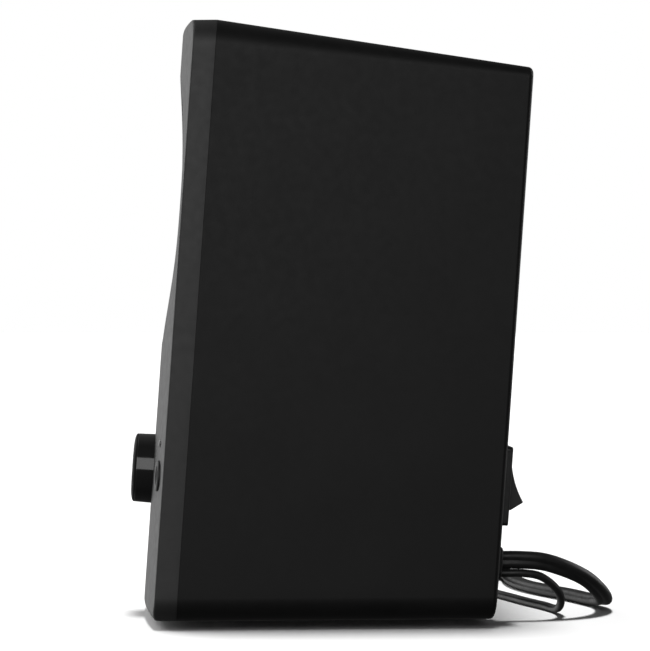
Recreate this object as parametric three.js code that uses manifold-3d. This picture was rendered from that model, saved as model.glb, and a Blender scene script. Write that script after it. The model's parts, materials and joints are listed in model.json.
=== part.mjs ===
// An active desktop speaker: a plastic case that leans back, with one driver in a waved front,
// a volume knob, an indicator lamp and a headphone socket, and at the rear a rocker switch and
// a bush that two leads leave by. Millimetres, +Z up, the front faces -Y.
// The case is sheared rather than turned: its floor is level, and its front and rear lean back.
// Inside the case, "depth" counts backwards from the front edges.

import * as THREE from 'three';
import { mergeVertices } from 'three/addons/utils/BufferGeometryUtils.js';
import { RoundedBoxGeometry } from 'three/addons/geometries/RoundedBoxGeometry.js';
import Module from 'manifold-3d';

const wasm = await Module();
wasm.setup();

// Driving dimensions of the case
const GAP = 0.3; // left between pieces that touch
const WALL = 2.5;
const HALF_WIDTH = 43;
const CASE_DEPTH = 90.4;
const LEAN = THREE.MathUtils.degToRad(3.95);
const FRONT_HEIGHT = 158.9; // the case's own height, without the feet
const REAR_HEIGHT = 146.3;
const SEAM_DEPTH = 6; // where the baffle meets the rear shell
const EDGE_DRAFT = 0.8; // how much narrower the baffle's front edge is, each side
const REAR_DRAFT = 0.5;
const BOTTOM_CORNER = 6.6;
const TOP_CORNER_FRONT = 7.5;
const TOP_CORNER_REAR = 3;

// The waved front
const BULGE = 2.9;
const SCOOP = 0.65; // the share of the bulge that is missing at the driver's height
const SCOOP_HALF_HEIGHT = 24.4;
const DRIVER_PLATE = 64; // the side of the driver's square flange
const FRONT_BOTTOM_RADIUS = 3.5;
const FRONT_TOP_RADIUS = 1.2;

// The driver
const DRIVER_HEIGHT = 111.2;
const RING_RADIUS = 35.5;
const OPENING_RADIUS = 30.6;
const CONE_RADIUS = 23.6;

// The controls on the front
const CONTROLS_HEIGHT = 38.1;
const KNOB_RADIUS = 9.6;
const KNOB_HEIGHT = 6.8;
const KNOB_POCKET = 1.2; // the shallow round pocket that the knob's back sits in
const SOCKET_X = 32;
const LAMP_RISE = 8.6;

// The rear
const SWITCH_X = 30.6;
const SWITCH_HEIGHT = 35.5;
const FLANGE = { width: 15, height: 21, thickness: 1.65, radius: 1 };
const ROCKER_TILT = THREE.MathUtils.degToRad(18);
const PIVOT_DEPTH = 4; // the rocker's pivot, behind the flange's face
const BUSH_X = 26;
const BUSH_HEIGHT = 14.3;
const BUSH_PROUD = 2.1;
const POSTS = [
  { name: 'lower_left', x: -34.5, z: 8.5 },
  { name: 'lower_right', x: 34.5, z: 8.5 },
  { name: 'upper_left', x: -36, z: 139.3 },
  { name: 'upper_right', x: 36, z: 139.3 },
];

// The feet
const FOOT = { radius: 5.5, height: 1.8, x: 30, frontDepth: 18, rearDepth: 79 };

// The leads
const MAINS_LEAD = { width: 4.9, thickness: 3 };
const AUDIO_LEAD = { radius: 1.1 };

// ---------------------------------------------------------------- solids

function outward(geometry) {
  const merged = withoutSlivers(mergeVertices(positionsOnly(geometry), 1e-4));
  const at = merged.getAttribute('position');
  const index = merged.getIndex().array;
  const [a, b, c] = [new THREE.Vector3(), new THREE.Vector3(), new THREE.Vector3()];
  let volume = 0;
  for (let i = 0; i < index.length; i += 3) {
    a.fromBufferAttribute(at, index[i]);
    b.fromBufferAttribute(at, index[i + 1]);
    c.fromBufferAttribute(at, index[i + 2]);
    volume += a.dot(b.cross(c));
  }
  if (volume < 0) {
    for (let i = 0; i < index.length; i += 3) {
      [index[i], index[i + 1]] = [index[i + 1], index[i]];
    }
  }
  return merged;
}

function positionsOnly(geometry) {
  const bare = new THREE.BufferGeometry();
  bare.setAttribute('position', geometry.getAttribute('position'));
  bare.setIndex(geometry.getIndex());
  return bare;
}

function withoutSlivers(geometry) {
  const index = geometry.getIndex().array;
  const kept = [];
  for (let i = 0; i < index.length; i += 3) {
    const [a, b, c] = [index[i], index[i + 1], index[i + 2]];
    if (a !== b && b !== c && c !== a) kept.push(a, b, c);
  }
  geometry.setIndex(kept);
  return geometry;
}

function solid(geometry) {
  const clean = outward(geometry);
  return new wasm.Manifold(new wasm.Mesh({
    numProp: 3,
    vertProperties: new Float32Array(clean.getAttribute('position').array),
    triVerts: new Uint32Array(clean.getIndex().array),
  }));
}

function surface(manifold) {
  const mesh = manifold.getMesh();
  const geometry = new THREE.BufferGeometry();
  geometry.setAttribute('position', new THREE.BufferAttribute(mesh.vertProperties, 3));
  geometry.setIndex(new THREE.BufferAttribute(mesh.triVerts, 1));
  return geometry;
}

function cut(body, tools) {
  return surface(tools.reduce((rest, tool) => rest.subtract(solid(tool)), solid(body)));
}

function join(pieces) {
  return surface(pieces.slice(1).reduce((sum, piece) => sum.add(solid(piece)), solid(pieces[0])));
}

// Closed rings of the same number of points become one skin with flat ends
function loft(rings) {
  const count = rings[0].length;
  const points = rings.flat();
  const index = [];
  for (let r = 0; r + 1 < rings.length; r += 1) {
    for (let i = 0; i < count; i += 1) {
      const next = (i + 1) % count;
      const [a, b] = [r * count + i, r * count + next];
      index.push(a, b, a + count, b, b + count, a + count);
    }
  }
  [0, rings.length - 1].forEach((r, end) => {
    const middle = points.length;
    points.push(rings[r].reduce((sum, p) => sum.add(p), new THREE.Vector3()).divideScalar(count));
    for (let i = 0; i < count; i += 1) {
      const [a, b] = [r * count + i, r * count + ((i + 1) % count)];
      index.push(...(end ? [a, b, middle] : [b, a, middle]));
    }
  });
  const geometry = new THREE.BufferGeometry().setFromPoints(points);
  geometry.setIndex(index);
  return geometry;
}

// A round piece turned about the Y axis: each profile point is [radius, distance back]
function turned(profile, segments = 28) {
  const points = [...profile, profile[0]].map(([radius, back]) => new THREE.Vector2(radius, back));
  const onAxis = profile[0][0] === 0 && profile.at(-1)[0] === 0;
  return outward(new THREE.LatheGeometry(onAxis ? points.slice(0, -1) : points, segments));
}

function rod(radius, from, to, segments = 24) {
  return turned([[0, from], [radius, from], [radius, to], [0, to]], segments);
}

function tube(outer, inner, from, to, segments = 28) {
  return turned([[inner, from], [outer, from], [outer, to], [inner, to]], segments);
}

function box(width, depth, height) {
  return new THREE.BoxGeometry(width, depth, height);
}

function plateShape(width, height, radius) {
  const [w, h] = [width / 2, height / 2];
  const shape = new THREE.Shape();
  shape.moveTo(-w + radius, -h);
  shape.lineTo(w - radius, -h);
  shape.absarc(w - radius, -h + radius, radius, -Math.PI / 2, 0);
  shape.lineTo(w, h - radius);
  shape.absarc(w - radius, h - radius, radius, 0, Math.PI / 2);
  shape.lineTo(-w + radius, h);
  shape.absarc(-w + radius, h - radius, radius, Math.PI / 2, Math.PI);
  shape.lineTo(-w, -h + radius);
  shape.absarc(-w + radius, -h + radius, radius, Math.PI, 1.5 * Math.PI);
  return shape;
}

// A plate in the XZ plane with round corners, from one distance back to another
function plate(width, height, radius, from, to) {
  const geometry = new THREE.ExtrudeGeometry(plateShape(width, height, radius), {
    depth: to - from,
    bevelEnabled: false,
    curveSegments: 2,
  });
  geometry.rotateX(Math.PI / 2);
  geometry.translate(0, to, 0);
  return geometry;
}

// ---------------------------------------------------------------- the scene graph

const speaker = new THREE.Group();
const assembly = new THREE.Group();
const front = new THREE.Group(); // leans with the front; its origin is on the front edges' plane
const driver = new THREE.Group(); // along the driver's axis
const controls = new THREE.Group(); // at the knob's axis
const rear = new THREE.Group(); // leans with the rear; its origin is on the rear face
speaker.add(assembly);
assembly.add(front, rear);
front.add(driver, controls);
front.rotation.x = -LEAN;
rear.rotation.x = -LEAN;
rear.position.y = CASE_DEPTH;
driver.position.z = DRIVER_HEIGHT;
controls.position.z = CONTROLS_HEIGHT;

const FINISH = {
  case: { color: 0x202020, roughness: 0.5, metalness: 0 },
  front: { color: 0x262626, roughness: 0.45, metalness: 0 },
  gloss: { color: 0x101010, roughness: 0.12, metalness: 0 },
  rubber: { color: 0x151515, roughness: 0.85, metalness: 0 },
  paper: { color: 0x1a1a1a, roughness: 0.9, metalness: 0 },
  steel: { color: 0x9a9a9a, roughness: 0.35, metalness: 1 },
  brass: { color: 0xb08d57, roughness: 0.35, metalness: 1 },
  copper: { color: 0xa0522d, roughness: 0.4, metalness: 1 },
  ferrite: { color: 0x2b2b2b, roughness: 0.7, metalness: 0 },
  board: { color: 0x2f5d34, roughness: 0.6, metalness: 0 },
  lamp: { color: 0x3a3a3a, roughness: 0.1, metalness: 0 },
};

function piece(parent, name, geometry, finish, place = [0, 0, 0]) {
  const mesh = new THREE.Mesh(outward(geometry), new THREE.MeshStandardMaterial(FINISH[finish]));
  mesh.name = name;
  mesh.position.set(...place);
  parent.add(mesh);
  return mesh;
}

// ---------------------------------------------------------------- the case

// A rounded rectangle in the XZ plane, standing on z = 0, as [x, z] pairs
function outline(halfWidth, height, topCorner, bottomCorner, inset = 0) {
  const steps = 4;
  const corners = [
    { x: 1, z: height - topCorner, radius: topCorner, from: 0 },
    { x: -1, z: height - topCorner, radius: topCorner, from: 1 },
    { x: -1, z: bottomCorner, radius: bottomCorner, from: 2 },
    { x: 1, z: bottomCorner, radius: bottomCorner, from: 3 },
  ];
  const points = [];
  corners.forEach(({ x, z, radius, from }) => {
    for (let i = 0; i <= steps; i += 1) {
      const angle = (from + i / steps) * (Math.PI / 2);
      const reach = radius - inset;
      points.push([x * (halfWidth - radius) + reach * Math.cos(angle), z + reach * Math.sin(angle)]);
    }
  });
  return points;
}

// The outline's straight sides get points between their corners, where the front's wave needs them
function withSidePoints(points, spacing) {
  return points.flatMap(([x, z], i) => {
    const [nextX, nextZ] = points[(i + 1) % points.length];
    const steps = Math.max(1, Math.round(Math.hypot(nextX - x, nextZ - z) / spacing));
    const along = (share) => [x + share * (nextX - x), z + share * (nextZ - z)];
    return Array.from({ length: steps }, (_, step) => along(step / steps));
  });
}

function atDepth(points, depth) {
  return points.map(([x, z]) => new THREE.Vector3(x, depth + z * Math.tan(LEAN), z));
}

// How far the front stands ahead of its edges' plane
function forward(x, z) {
  const across = 1 - Math.min(1, Math.abs(x) / (HALF_WIDTH - EDGE_DRAFT)) ** 2;
  const scoop = SCOOP * Math.exp(-((Math.abs(z - DRIVER_HEIGHT) / SCOOP_HALF_HEIGHT) ** 3.2));
  return BULGE * across * (1 - scoop);
}

// How far the front falls back at its top and bottom edges
function roundedBack(z) {
  const fall = (radius, into) => radius - Math.sqrt(Math.max(0, radius ** 2 - into ** 2));
  const low = Math.max(0, FRONT_BOTTOM_RADIUS - z);
  const high = Math.max(0, z - (FRONT_HEIGHT - FRONT_TOP_RADIUS));
  return fall(FRONT_BOTTOM_RADIUS, low) + fall(FRONT_TOP_RADIUS, high);
}

// The baffle's outside, or, with an inset, the hollow behind its skin
function baffleBody(inset, backDepth, shares) {
  const spacing = 14;
  const edge = withSidePoints(
    outline(HALF_WIDTH - EDGE_DRAFT, FRONT_HEIGHT, TOP_CORNER_FRONT, BOTTOM_CORNER, inset),
    spacing,
  );
  const seam = withSidePoints(
    outline(HALF_WIDTH, FRONT_HEIGHT, TOP_CORNER_FRONT, BOTTOM_CORNER, inset),
    spacing,
  );
  const middle = FRONT_HEIGHT / 2;
  const face = shares.map((share) => edge.map(([x, z]) => {
    const [faceX, faceZ] = [share * x, middle + share * (z - middle)];
    const depth = inset + roundedBack(faceZ) - forward(faceX, faceZ);
    return new THREE.Vector3(faceX, depth + faceZ * Math.tan(LEAN), faceZ);
  }));
  return loft([...face, atDepth(seam, backDepth)]);
}

function lean(geometry, x, z) {
  const upright = new THREE.Matrix4().makeRotationX(-LEAN);
  const place = new THREE.Matrix4().makeTranslation(x, 0, z);
  return geometry.clone().applyMatrix4(upright.multiply(place));
}

// The four corners of a square about the origin, as [x, z]
function cornersOf(reach) {
  return [-1, 1].flatMap((x) => [-1, 1].map((z) => [x * reach, z * reach]));
}

const SEAT_DEPTH = 1; // the trim ring's seat, behind the front edges' plane
const BOARD_BEHIND = 3.2; // the back of the plate that the driver is screwed to
const EAR = 27.2; // the driver's screws, across and up from its axis

function frontBaffle() {
  const lipInset = WALL + 0.8;
  const lipOuter = outline(HALF_WIDTH, FRONT_HEIGHT, TOP_CORNER_FRONT, BOTTOM_CORNER, lipInset);
  const lip = loft([atDepth(lipOuter, SEAM_DEPTH - 2), atDepth(lipOuter, SEAM_DEPTH + 2.5)]);
  const driverPlate = lean(plate(79, 79, 12, 0.4, BOARD_BEHIND), 0, DRIVER_HEIGHT);
  const posts = POSTS.map(({ x, z }) => {
    const post = rod(3.5, 1, CASE_DEPTH - WALL - GAP, 12);
    post.translate(x, z * Math.tan(LEAN), z);
    return post;
  });
  const pilots = POSTS.map(({ x, z }) => {
    const pilot = rod(1.8, CASE_DEPTH - 14, CASE_DEPTH, 8);
    pilot.translate(x, z * Math.tan(LEAN), z);
    return pilot;
  });
  const lipHollow = outline(HALF_WIDTH, FRONT_HEIGHT, TOP_CORNER_FRONT, BOTTOM_CORNER, lipInset + 1.4);
  const outerShares = [0.16, 0.42, 0.64, 0.82, 0.93, 0.98, 1];
  const skin = cut(join([baffleBody(0, SEAM_DEPTH, outerShares), lip]), [
    baffleBody(WALL, SEAM_DEPTH - 2, [0.3, 0.65, 0.9, 1]),
    loft([atDepth(lipHollow, SEAM_DEPTH - 2.5), atDepth(lipHollow, SEAM_DEPTH + 5)]),
  ]);
  const screwHoles = cornersOf(EAR).map(([x, z]) => (
    lean(rod(1.5, 0.6, BOARD_BEHIND + 1, 10), x, DRIVER_HEIGHT + z)
  ));
  return cut(join([skin, driverPlate, ...posts]), [
    ...pilots,
    ...screwHoles,
    lean(rod(RING_RADIUS + GAP, -BULGE - 2, SEAT_DEPTH, 40), 0, DRIVER_HEIGHT),
    lean(rod(OPENING_RADIUS, -BULGE - 2, BOARD_BEHIND + 4, 40), 0, DRIVER_HEIGHT),
    lean(rod(4.1, -BULGE - 2, 6, 16), 0, CONTROLS_HEIGHT),
    lean(rod(KNOB_RADIUS + 0.6, -BULGE - 2, -BULGE + KNOB_POCKET, 36), 0, CONTROLS_HEIGHT),
    lean(rod(3.5, -BULGE - 2, 6, 16), SOCKET_X, CONTROLS_HEIGHT),
    lean(rod(1.5, -BULGE - 2, 6, 12), SOCKET_X - 0.6, CONTROLS_HEIGHT + LAMP_RISE),
  ]);
}

function shellSection(depth, inset, extraInset = 0) {
  const share = (depth - SEAM_DEPTH) / (CASE_DEPTH - SEAM_DEPTH);
  const height = THREE.MathUtils.lerp(FRONT_HEIGHT, REAR_HEIGHT, share);
  const corner = THREE.MathUtils.lerp(TOP_CORNER_FRONT, TOP_CORNER_REAR, share);
  const halfWidth = HALF_WIDTH - REAR_DRAFT * share;
  return atDepth(outline(halfWidth, height, corner, BOTTOM_CORNER, inset + extraInset), depth);
}

function rearShell() {
  const start = SEAM_DEPTH + GAP;
  const outside = loft([
    shellSection(start, 0),
    shellSection(CASE_DEPTH - 1, 0),
    shellSection(CASE_DEPTH - 0.3, 0, 0.3),
    shellSection(CASE_DEPTH, 0, 1),
  ]);
  const hollow = loft([
    shellSection(start - 5, WALL),
    shellSection(CASE_DEPTH - WALL, WALL),
  ]);
  const rearLean = (geometry, x, z) => {
    geometry.translate(x, 0, z);
    geometry.rotateX(-LEAN);
    geometry.translate(0, CASE_DEPTH, 0);
    return geometry;
  };
  const footSeats = [-1, 1].flatMap((side) => [FOOT.frontDepth, FOOT.rearDepth].map((depth) => {
    const seat = rod(FOOT.radius + GAP, -1, 0.8, 28);
    seat.rotateX(Math.PI / 2);
    seat.translate(side * FOOT.x, depth, 0);
    return seat;
  }));
  const screwWells = POSTS.flatMap(({ x, z }) => [
    [rod(1.8, -8, 4, 12), rod(3.2, -1.1, 4, 20)].map((well) => (
      well.translate(x, CASE_DEPTH + z * Math.tan(LEAN), z)
    )),
  ].flat());
  return cut(outside, [
    hollow,
    rearLean(box(13, 8, 19.2), SWITCH_X, SWITCH_HEIGHT),
    rearLean(box(8.6, 8, 7.1), BUSH_X, BUSH_HEIGHT),
    rearLean(rod(3.4, -5, 5, 24), -SOCKET_X + 4, BUSH_HEIGHT + 8),
    ...footSeats,
    ...screwWells,
  ]);
}

piece(assembly, 'front_baffle', frontBaffle(), 'front');
piece(assembly, 'rear_shell', rearShell(), 'case');

// ---------------------------------------------------------------- the driver

const FLANGE_BACK = BOARD_BEHIND + GAP; // the basket's flange starts here
const BASKET_DEPTH = 17;

function trimRing() {
  return turned([
    [OPENING_RADIUS - 0.4, SEAT_DEPTH - GAP],
    [OPENING_RADIUS - 1, 0.2],
    [OPENING_RADIUS + 0.6, -0.2],
    [RING_RADIUS - 1.2, -0.35],
    [RING_RADIUS, 0.1],
    [RING_RADIUS, SEAT_DEPTH - GAP],
  ], 40);
}

function basket() {
  const flange = cut(plate(DRIVER_PLATE, DRIVER_PLATE, 8, FLANGE_BACK, FLANGE_BACK + 1.2), [
    rod(29.3, FLANGE_BACK - 1, FLANGE_BACK + 3, 32),
    ...cornersOf(EAR).map(([x, z]) => rod(1.5, FLANGE_BACK - 1, FLANGE_BACK + 3, 10).translate(x, 0, z)),
  ]);
  const bowl = turned([
    [29.2, FLANGE_BACK],
    [30.4, FLANGE_BACK],
    [30.4, FLANGE_BACK + 1.2],
    [21, FLANGE_BACK + BASKET_DEPTH - 3],
    [21, FLANGE_BACK + BASKET_DEPTH],
    [11, FLANGE_BACK + BASKET_DEPTH],
    [11, FLANGE_BACK + BASKET_DEPTH - 1.2],
    [19.8, FLANGE_BACK + BASKET_DEPTH - 1.2],
    [19.8, FLANGE_BACK + BASKET_DEPTH - 3.6],
    [29.2, FLANGE_BACK + 1.2],
  ], 32);
  const windows = [0.25, 0.75].map((share) => {
    const window = box(70, 7.5, 14);
    window.rotateY(share * Math.PI);
    window.translate(0, FLANGE_BACK + 7.6, 0);
    return window;
  });
  return cut(join([flange, bowl]), windows);
}

// A half roll between the basket's rim and the cone, with a narrow land on each side
function surround() {
  const [inner, outer, thickness] = [CONE_RADIUS + GAP, 28.9, 0.6];
  const start = FLANGE_BACK - 0.1;
  const rollInner = inner + 0.4;
  const rollOuter = outer - 1.2;
  const middle = (rollInner + rollOuter) / 2;
  const radius = (rollOuter - rollInner) / 2;
  const roll = (reach) => Array.from({ length: 6 }, (_, i) => {
    const angle = Math.PI * (1 - i / 5);
    return [middle + (radius + reach) * Math.cos(angle), start - (radius + reach) * Math.sin(angle)];
  });
  return turned([
    [inner, start + 1.6],
    ...roll(thickness / 2),
    [outer, start],
    [outer, start + thickness],
    ...roll(-thickness / 2).reverse().map(([r, h]) => [r, h + thickness]),
    [inner + 0.05, start + 1.6 + thickness],
  ], 32);
}

function cone() {
  return turned([
    [CONE_RADIUS, FLANGE_BACK + 1.2],
    [CONE_RADIUS, FLANGE_BACK + 2],
    [17, FLANGE_BACK + 7.2],
    [10.9, FLANGE_BACK + 11.5],
    [10.2, FLANGE_BACK + 11.5],
    [10.2, FLANGE_BACK + 10.9],
    [16.6, FLANGE_BACK + 6.3],
  ], 32);
}

function dustCap() {
  const rim = 10.6;
  const arc = (rise, radius) => Array.from({ length: 5 }, (_, i) => {
    const angle = (i / 4) * (Math.PI / 2);
    return [radius * Math.sin(angle), FLANGE_BACK + 9.9 - rise * Math.cos(angle)];
  });
  return turned([...arc(4.6, rim), ...arc(4, rim - 0.7).reverse()], 28);
}

function spider() {
  const ripples = 2;
  const [inner, outer] = [10.3, 19.2];
  const wave = (offset) => Array.from({ length: 9 }, (_, i) => [
    THREE.MathUtils.lerp(inner, outer, i / 8),
    FLANGE_BACK + 13.3 + offset + 0.4 * Math.sin((i / 8) * ripples * 2 * Math.PI),
  ]);
  return turned([...wave(-0.25), ...wave(0.25).reverse()], 24);
}

const PLATE_FRONT = FLANGE_BACK + BASKET_DEPTH + GAP;
piece(driver, 'driver_trim_ring', trimRing(), 'gloss');
piece(driver, 'driver_basket', basket(), 'steel');
piece(driver, 'driver_surround', surround(), 'rubber');
piece(driver, 'driver_cone', cone(), 'paper');
piece(driver, 'driver_dust_cap', dustCap(), 'paper');
piece(driver, 'voice_coil', tube(9.9, 9.2, FLANGE_BACK + 10.2, PLATE_FRONT + 3.6, 28), 'copper');
piece(driver, 'driver_spider', spider(), 'paper');
piece(driver, 'magnet_top_plate', tube(20, 10.5, PLATE_FRONT, PLATE_FRONT + 3), 'steel');
piece(driver, 'driver_magnet', tube(22.5, 12.5, PLATE_FRONT + 3.3, PLATE_FRONT + 12.3), 'ferrite');
piece(driver, 'magnet_yoke', turned([
  [0, PLATE_FRONT - 0.4],
  [8.6, PLATE_FRONT - 0.4],
  [8.6, PLATE_FRONT + 12.6],
  [21, PLATE_FRONT + 12.6],
  [21, PLATE_FRONT + 15.6],
  [0, PLATE_FRONT + 15.6],
]), 'steel');

function panScrew(head, headHeight, shank, length) {
  return turned([
    [0, -length],
    [shank, -length],
    [shank, 0],
    [head, 0],
    [head, headHeight * 0.55],
    [head * 0.6, headHeight],
    [0, headHeight],
  ], 16);
}

[-1, 1].forEach((x) => [-1, 1].forEach((z) => {
  const name = `driver_screw_${z > 0 ? 'upper' : 'lower'}_${x > 0 ? 'right' : 'left'}`;
  const seat = FLANGE_BACK + 1.2 + GAP;
  piece(driver, name, panScrew(2.6, 1.7, 1.1, 3.6), 'steel', [x * EAR, seat, z * EAR]);
}));

// ---------------------------------------------------------------- the controls on the front

const FACE = -BULGE + KNOB_POCKET; // the pocket's floor
const KNOB_BACK = FACE - 0.5;

function knob() {
  const edge = 1.5;
  const crown = 0.5;
  const round = Array.from({ length: 4 }, (_, i) => {
    const angle = (i / 3) * (Math.PI / 2);
    return [
      KNOB_RADIUS - edge + edge * Math.sin(angle),
      KNOB_BACK - KNOB_HEIGHT + crown + edge - edge * Math.cos(angle),
    ];
  });
  return turned([
    [0, KNOB_BACK - KNOB_HEIGHT],
    [KNOB_RADIUS * 0.5, KNOB_BACK - KNOB_HEIGHT + crown * 0.35],
    ...round,
    [KNOB_RADIUS, KNOB_BACK],
    [KNOB_RADIUS - 1.4, KNOB_BACK],
    [KNOB_RADIUS - 1.4, KNOB_BACK - 3],
    [4.4, KNOB_BACK - 3],
    [4.4, KNOB_BACK - 2.6],
    [3.1, KNOB_BACK - 2.6],
    [3.1, KNOB_BACK - 4.8],
    [0, KNOB_BACK - 4.8],
  ], 36);
}

const POT_FRONT = 2.6;
const BOARD_DEPTH = 12.2;
piece(controls, 'volume_knob', knob(), 'gloss');
piece(controls, 'potentiometer_shaft', rod(2.8, KNOB_BACK - 4.5, POT_FRONT + 3, 20), 'steel');
const hexagon = rod(5.6, FACE - 2.3, FACE - GAP, 6);
piece(controls, 'potentiometer_nut', cut(hexagon, [rod(4, FACE - 4, FACE + 2, 20)]), 'steel');
piece(controls, 'potentiometer_body', turned([
  [3.1, FACE - 2],
  [3.7, FACE - 2],
  [3.7, POT_FRONT + GAP],
  [8.2, POT_FRONT + GAP],
  [8.2, BOARD_DEPTH - GAP],
  [0, BOARD_DEPTH - GAP],
  [0, POT_FRONT + 3.4],
  [3.1, POT_FRONT + 3.4],
], 20), 'steel');

// The socket and the lamp sit square to the curved front
const slope = (2 * BULGE * SOCKET_X) / (HALF_WIDTH - EDGE_DRAFT) ** 2;
const socketFace = -forward(SOCKET_X, CONTROLS_HEIGHT);
const socketGroup = new THREE.Group();
socketGroup.position.set(SOCKET_X, socketFace, 0);
socketGroup.rotation.z = Math.atan(slope);
controls.add(socketGroup);

piece(socketGroup, 'headphone_socket_collar', turned([
  [1.9, 2.2],
  [1.9, -0.55],
  [3.6, -0.75],
  [4.1, -0.6],
  [4.1, -GAP - 0.05],
  [2.9, -GAP - 0.05],
  [2.9, 2.2],
], 24), 'front');
piece(controls, 'headphone_socket_body', cut(
  box(8, 8, 8).translate(0, 8 / 2, 0),
  [rod(1.9, -1, 6.5, 20)],
), 'case', [SOCKET_X - 1.1, 3, 0]);
piece(socketGroup, 'indicator_lamp', turned([
  [0, -0.3],
  [0.6, -0.25],
  [1.05, 0],
  [1.05, 4.5],
  [1.9, 4.5],
  [1.9, 7],
  [0, 7],
], 20), 'lamp', [-0.6, -0.2, LAMP_RISE]);

// ---------------------------------------------------------------- the board

const BOARD = { width: 68, height: 40, thickness: 1.6, rise: 3 };
const BOARD_BACK = BOARD_DEPTH + BOARD.thickness;

piece(controls, 'amplifier_board', box(BOARD.width, BOARD.thickness, BOARD.height), 'board', [
  0,
  BOARD_DEPTH + BOARD.thickness / 2,
  BOARD.rise,
]);
piece(controls, 'amplifier_chip', box(20, 4, 11), 'ferrite', [-16, BOARD_BACK + GAP + 2, 10]);

function heatSink() {
  const shape = new THREE.Shape();
  const [width, base, fin, fins] = [30, 2, 8, 6];
  shape.moveTo(-width / 2, 0);
  shape.lineTo(width / 2, 0);
  const pitch = (width - 1.2) / (fins - 1);
  for (let i = fins - 1; i >= 0; i -= 1) {
    const left = -width / 2 + i * pitch;
    shape.lineTo(left + 1.2, base + fin);
    shape.lineTo(left, base + fin);
    if (i > 0) {
      shape.lineTo(left, base);
      shape.lineTo(left - pitch + 1.2, base);
    }
  }
  const geometry = new THREE.ExtrudeGeometry(shape, { depth: 18, bevelEnabled: false });
  geometry.translate(0, 0, -9);
  return geometry;
}

piece(controls, 'heat_sink', heatSink(), 'steel', [-16, BOARD_BACK + 4 + 2 * GAP, 10]);
[{ name: 'filter_capacitor_1', x: 10 }, { name: 'filter_capacitor_2', x: 22.5 }].forEach(({ name, x }) => {
  piece(controls, name, rod(5, 0, 16, 20), 'case', [x, BOARD_BACK + GAP, 12]);
});
piece(controls, 'mains_fuse', rod(2.6, -10, 10, 16).rotateZ(Math.PI / 2), 'steel', [
  14,
  BOARD_BACK + GAP + 2.6,
  -8,
]);

// ---------------------------------------------------------------- the transformer

const CORE = { width: 35, depth: 14, height: 30, windowWidth: 6.5, windowHeight: 18 };
const OUTER_LEG = 5.5;
const transformer = new THREE.Group();
transformer.position.set(-2, 60, WALL + GAP);
assembly.add(transformer);

function laminations() {
  const windowX = CORE.width / 2 - OUTER_LEG - CORE.windowWidth / 2;
  const windows = [-1, 1].map((side) => (
    box(CORE.windowWidth, CORE.depth + 2, CORE.windowHeight).translate(side * windowX, 0, 0)
  ));
  return cut(box(CORE.width, CORE.depth, CORE.height), windows);
}

function winding() {
  const leg = CORE.width - 2 * OUTER_LEG - 2 * CORE.windowWidth;
  const height = CORE.windowHeight - 2 * GAP;
  const outer = new RoundedBoxGeometry(
    leg + 2 * CORE.windowWidth - 2 * GAP,
    CORE.depth + 12,
    height,
    1,
    2,
  );
  return cut(outer, [box(leg + 2 * GAP, CORE.depth + 2 * GAP, height + 2)]);
}

const STRAP = { sheet: 1, ear: 7.5, depth: 10 };

function strap() {
  const [reach, top, sheet] = [CORE.width / 2 + GAP, CORE.height + 2 * GAP, STRAP.sheet];
  const { ear } = STRAP;
  const shape = new THREE.Shape();
  shape.moveTo(-reach - sheet - ear, 0);
  shape.lineTo(-reach, 0);
  shape.lineTo(-reach, top);
  shape.lineTo(reach, top);
  shape.lineTo(reach, 0);
  shape.lineTo(reach + sheet + ear, 0);
  shape.lineTo(reach + sheet + ear, sheet);
  shape.lineTo(reach + sheet, sheet);
  shape.lineTo(reach + sheet, top + sheet);
  shape.lineTo(-reach - sheet, top + sheet);
  shape.lineTo(-reach - sheet, sheet);
  shape.lineTo(-reach - sheet - ear, sheet);
  const geometry = new THREE.ExtrudeGeometry(shape, { depth: STRAP.depth, bevelEnabled: false });
  geometry.rotateX(Math.PI / 2);
  geometry.translate(0, STRAP.depth / 2, 0);
  return geometry;
}

piece(transformer, 'transformer_core', laminations(), 'ferrite', [0, 0, CORE.height / 2 + GAP]);
piece(transformer, 'transformer_winding', winding(), 'copper', [0, 0, CORE.height / 2 + GAP]);
piece(transformer, 'transformer_strap', strap(), 'steel');
[-1, 1].forEach((side) => {
  const head = turned([[0, 1.9], [1.6, 1.9], [2.8, 0.9], [2.8, 0], [0, 0]], 16);
  head.rotateX(Math.PI / 2);
  const name = `transformer_screw_${side > 0 ? 'right' : 'left'}`;
  piece(transformer, name, head, 'steel', [
    side * (CORE.width / 2 + 5.3),
    0,
    STRAP.sheet + GAP,
  ]);
});

// ---------------------------------------------------------------- the rear: switch, bush, socket

const switchGroup = new THREE.Group();
switchGroup.position.set(SWITCH_X, 0, SWITCH_HEIGHT);
rear.add(switchGroup);
const FLANGE_FACE = GAP + FLANGE.thickness;

function switchHousing() {
  const flange = plate(FLANGE.width, FLANGE.height, FLANGE.radius, GAP, FLANGE_FACE);
  const body = box(12.2, 15, 18.4).translate(0, GAP + 1 - 15 / 2, 0);
  const well = box(10.6, 16, 17.2).translate(0, FLANGE_FACE + 1 - 16 / 2, 0);
  return cut(join([flange, body]), [well]);
}

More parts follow.
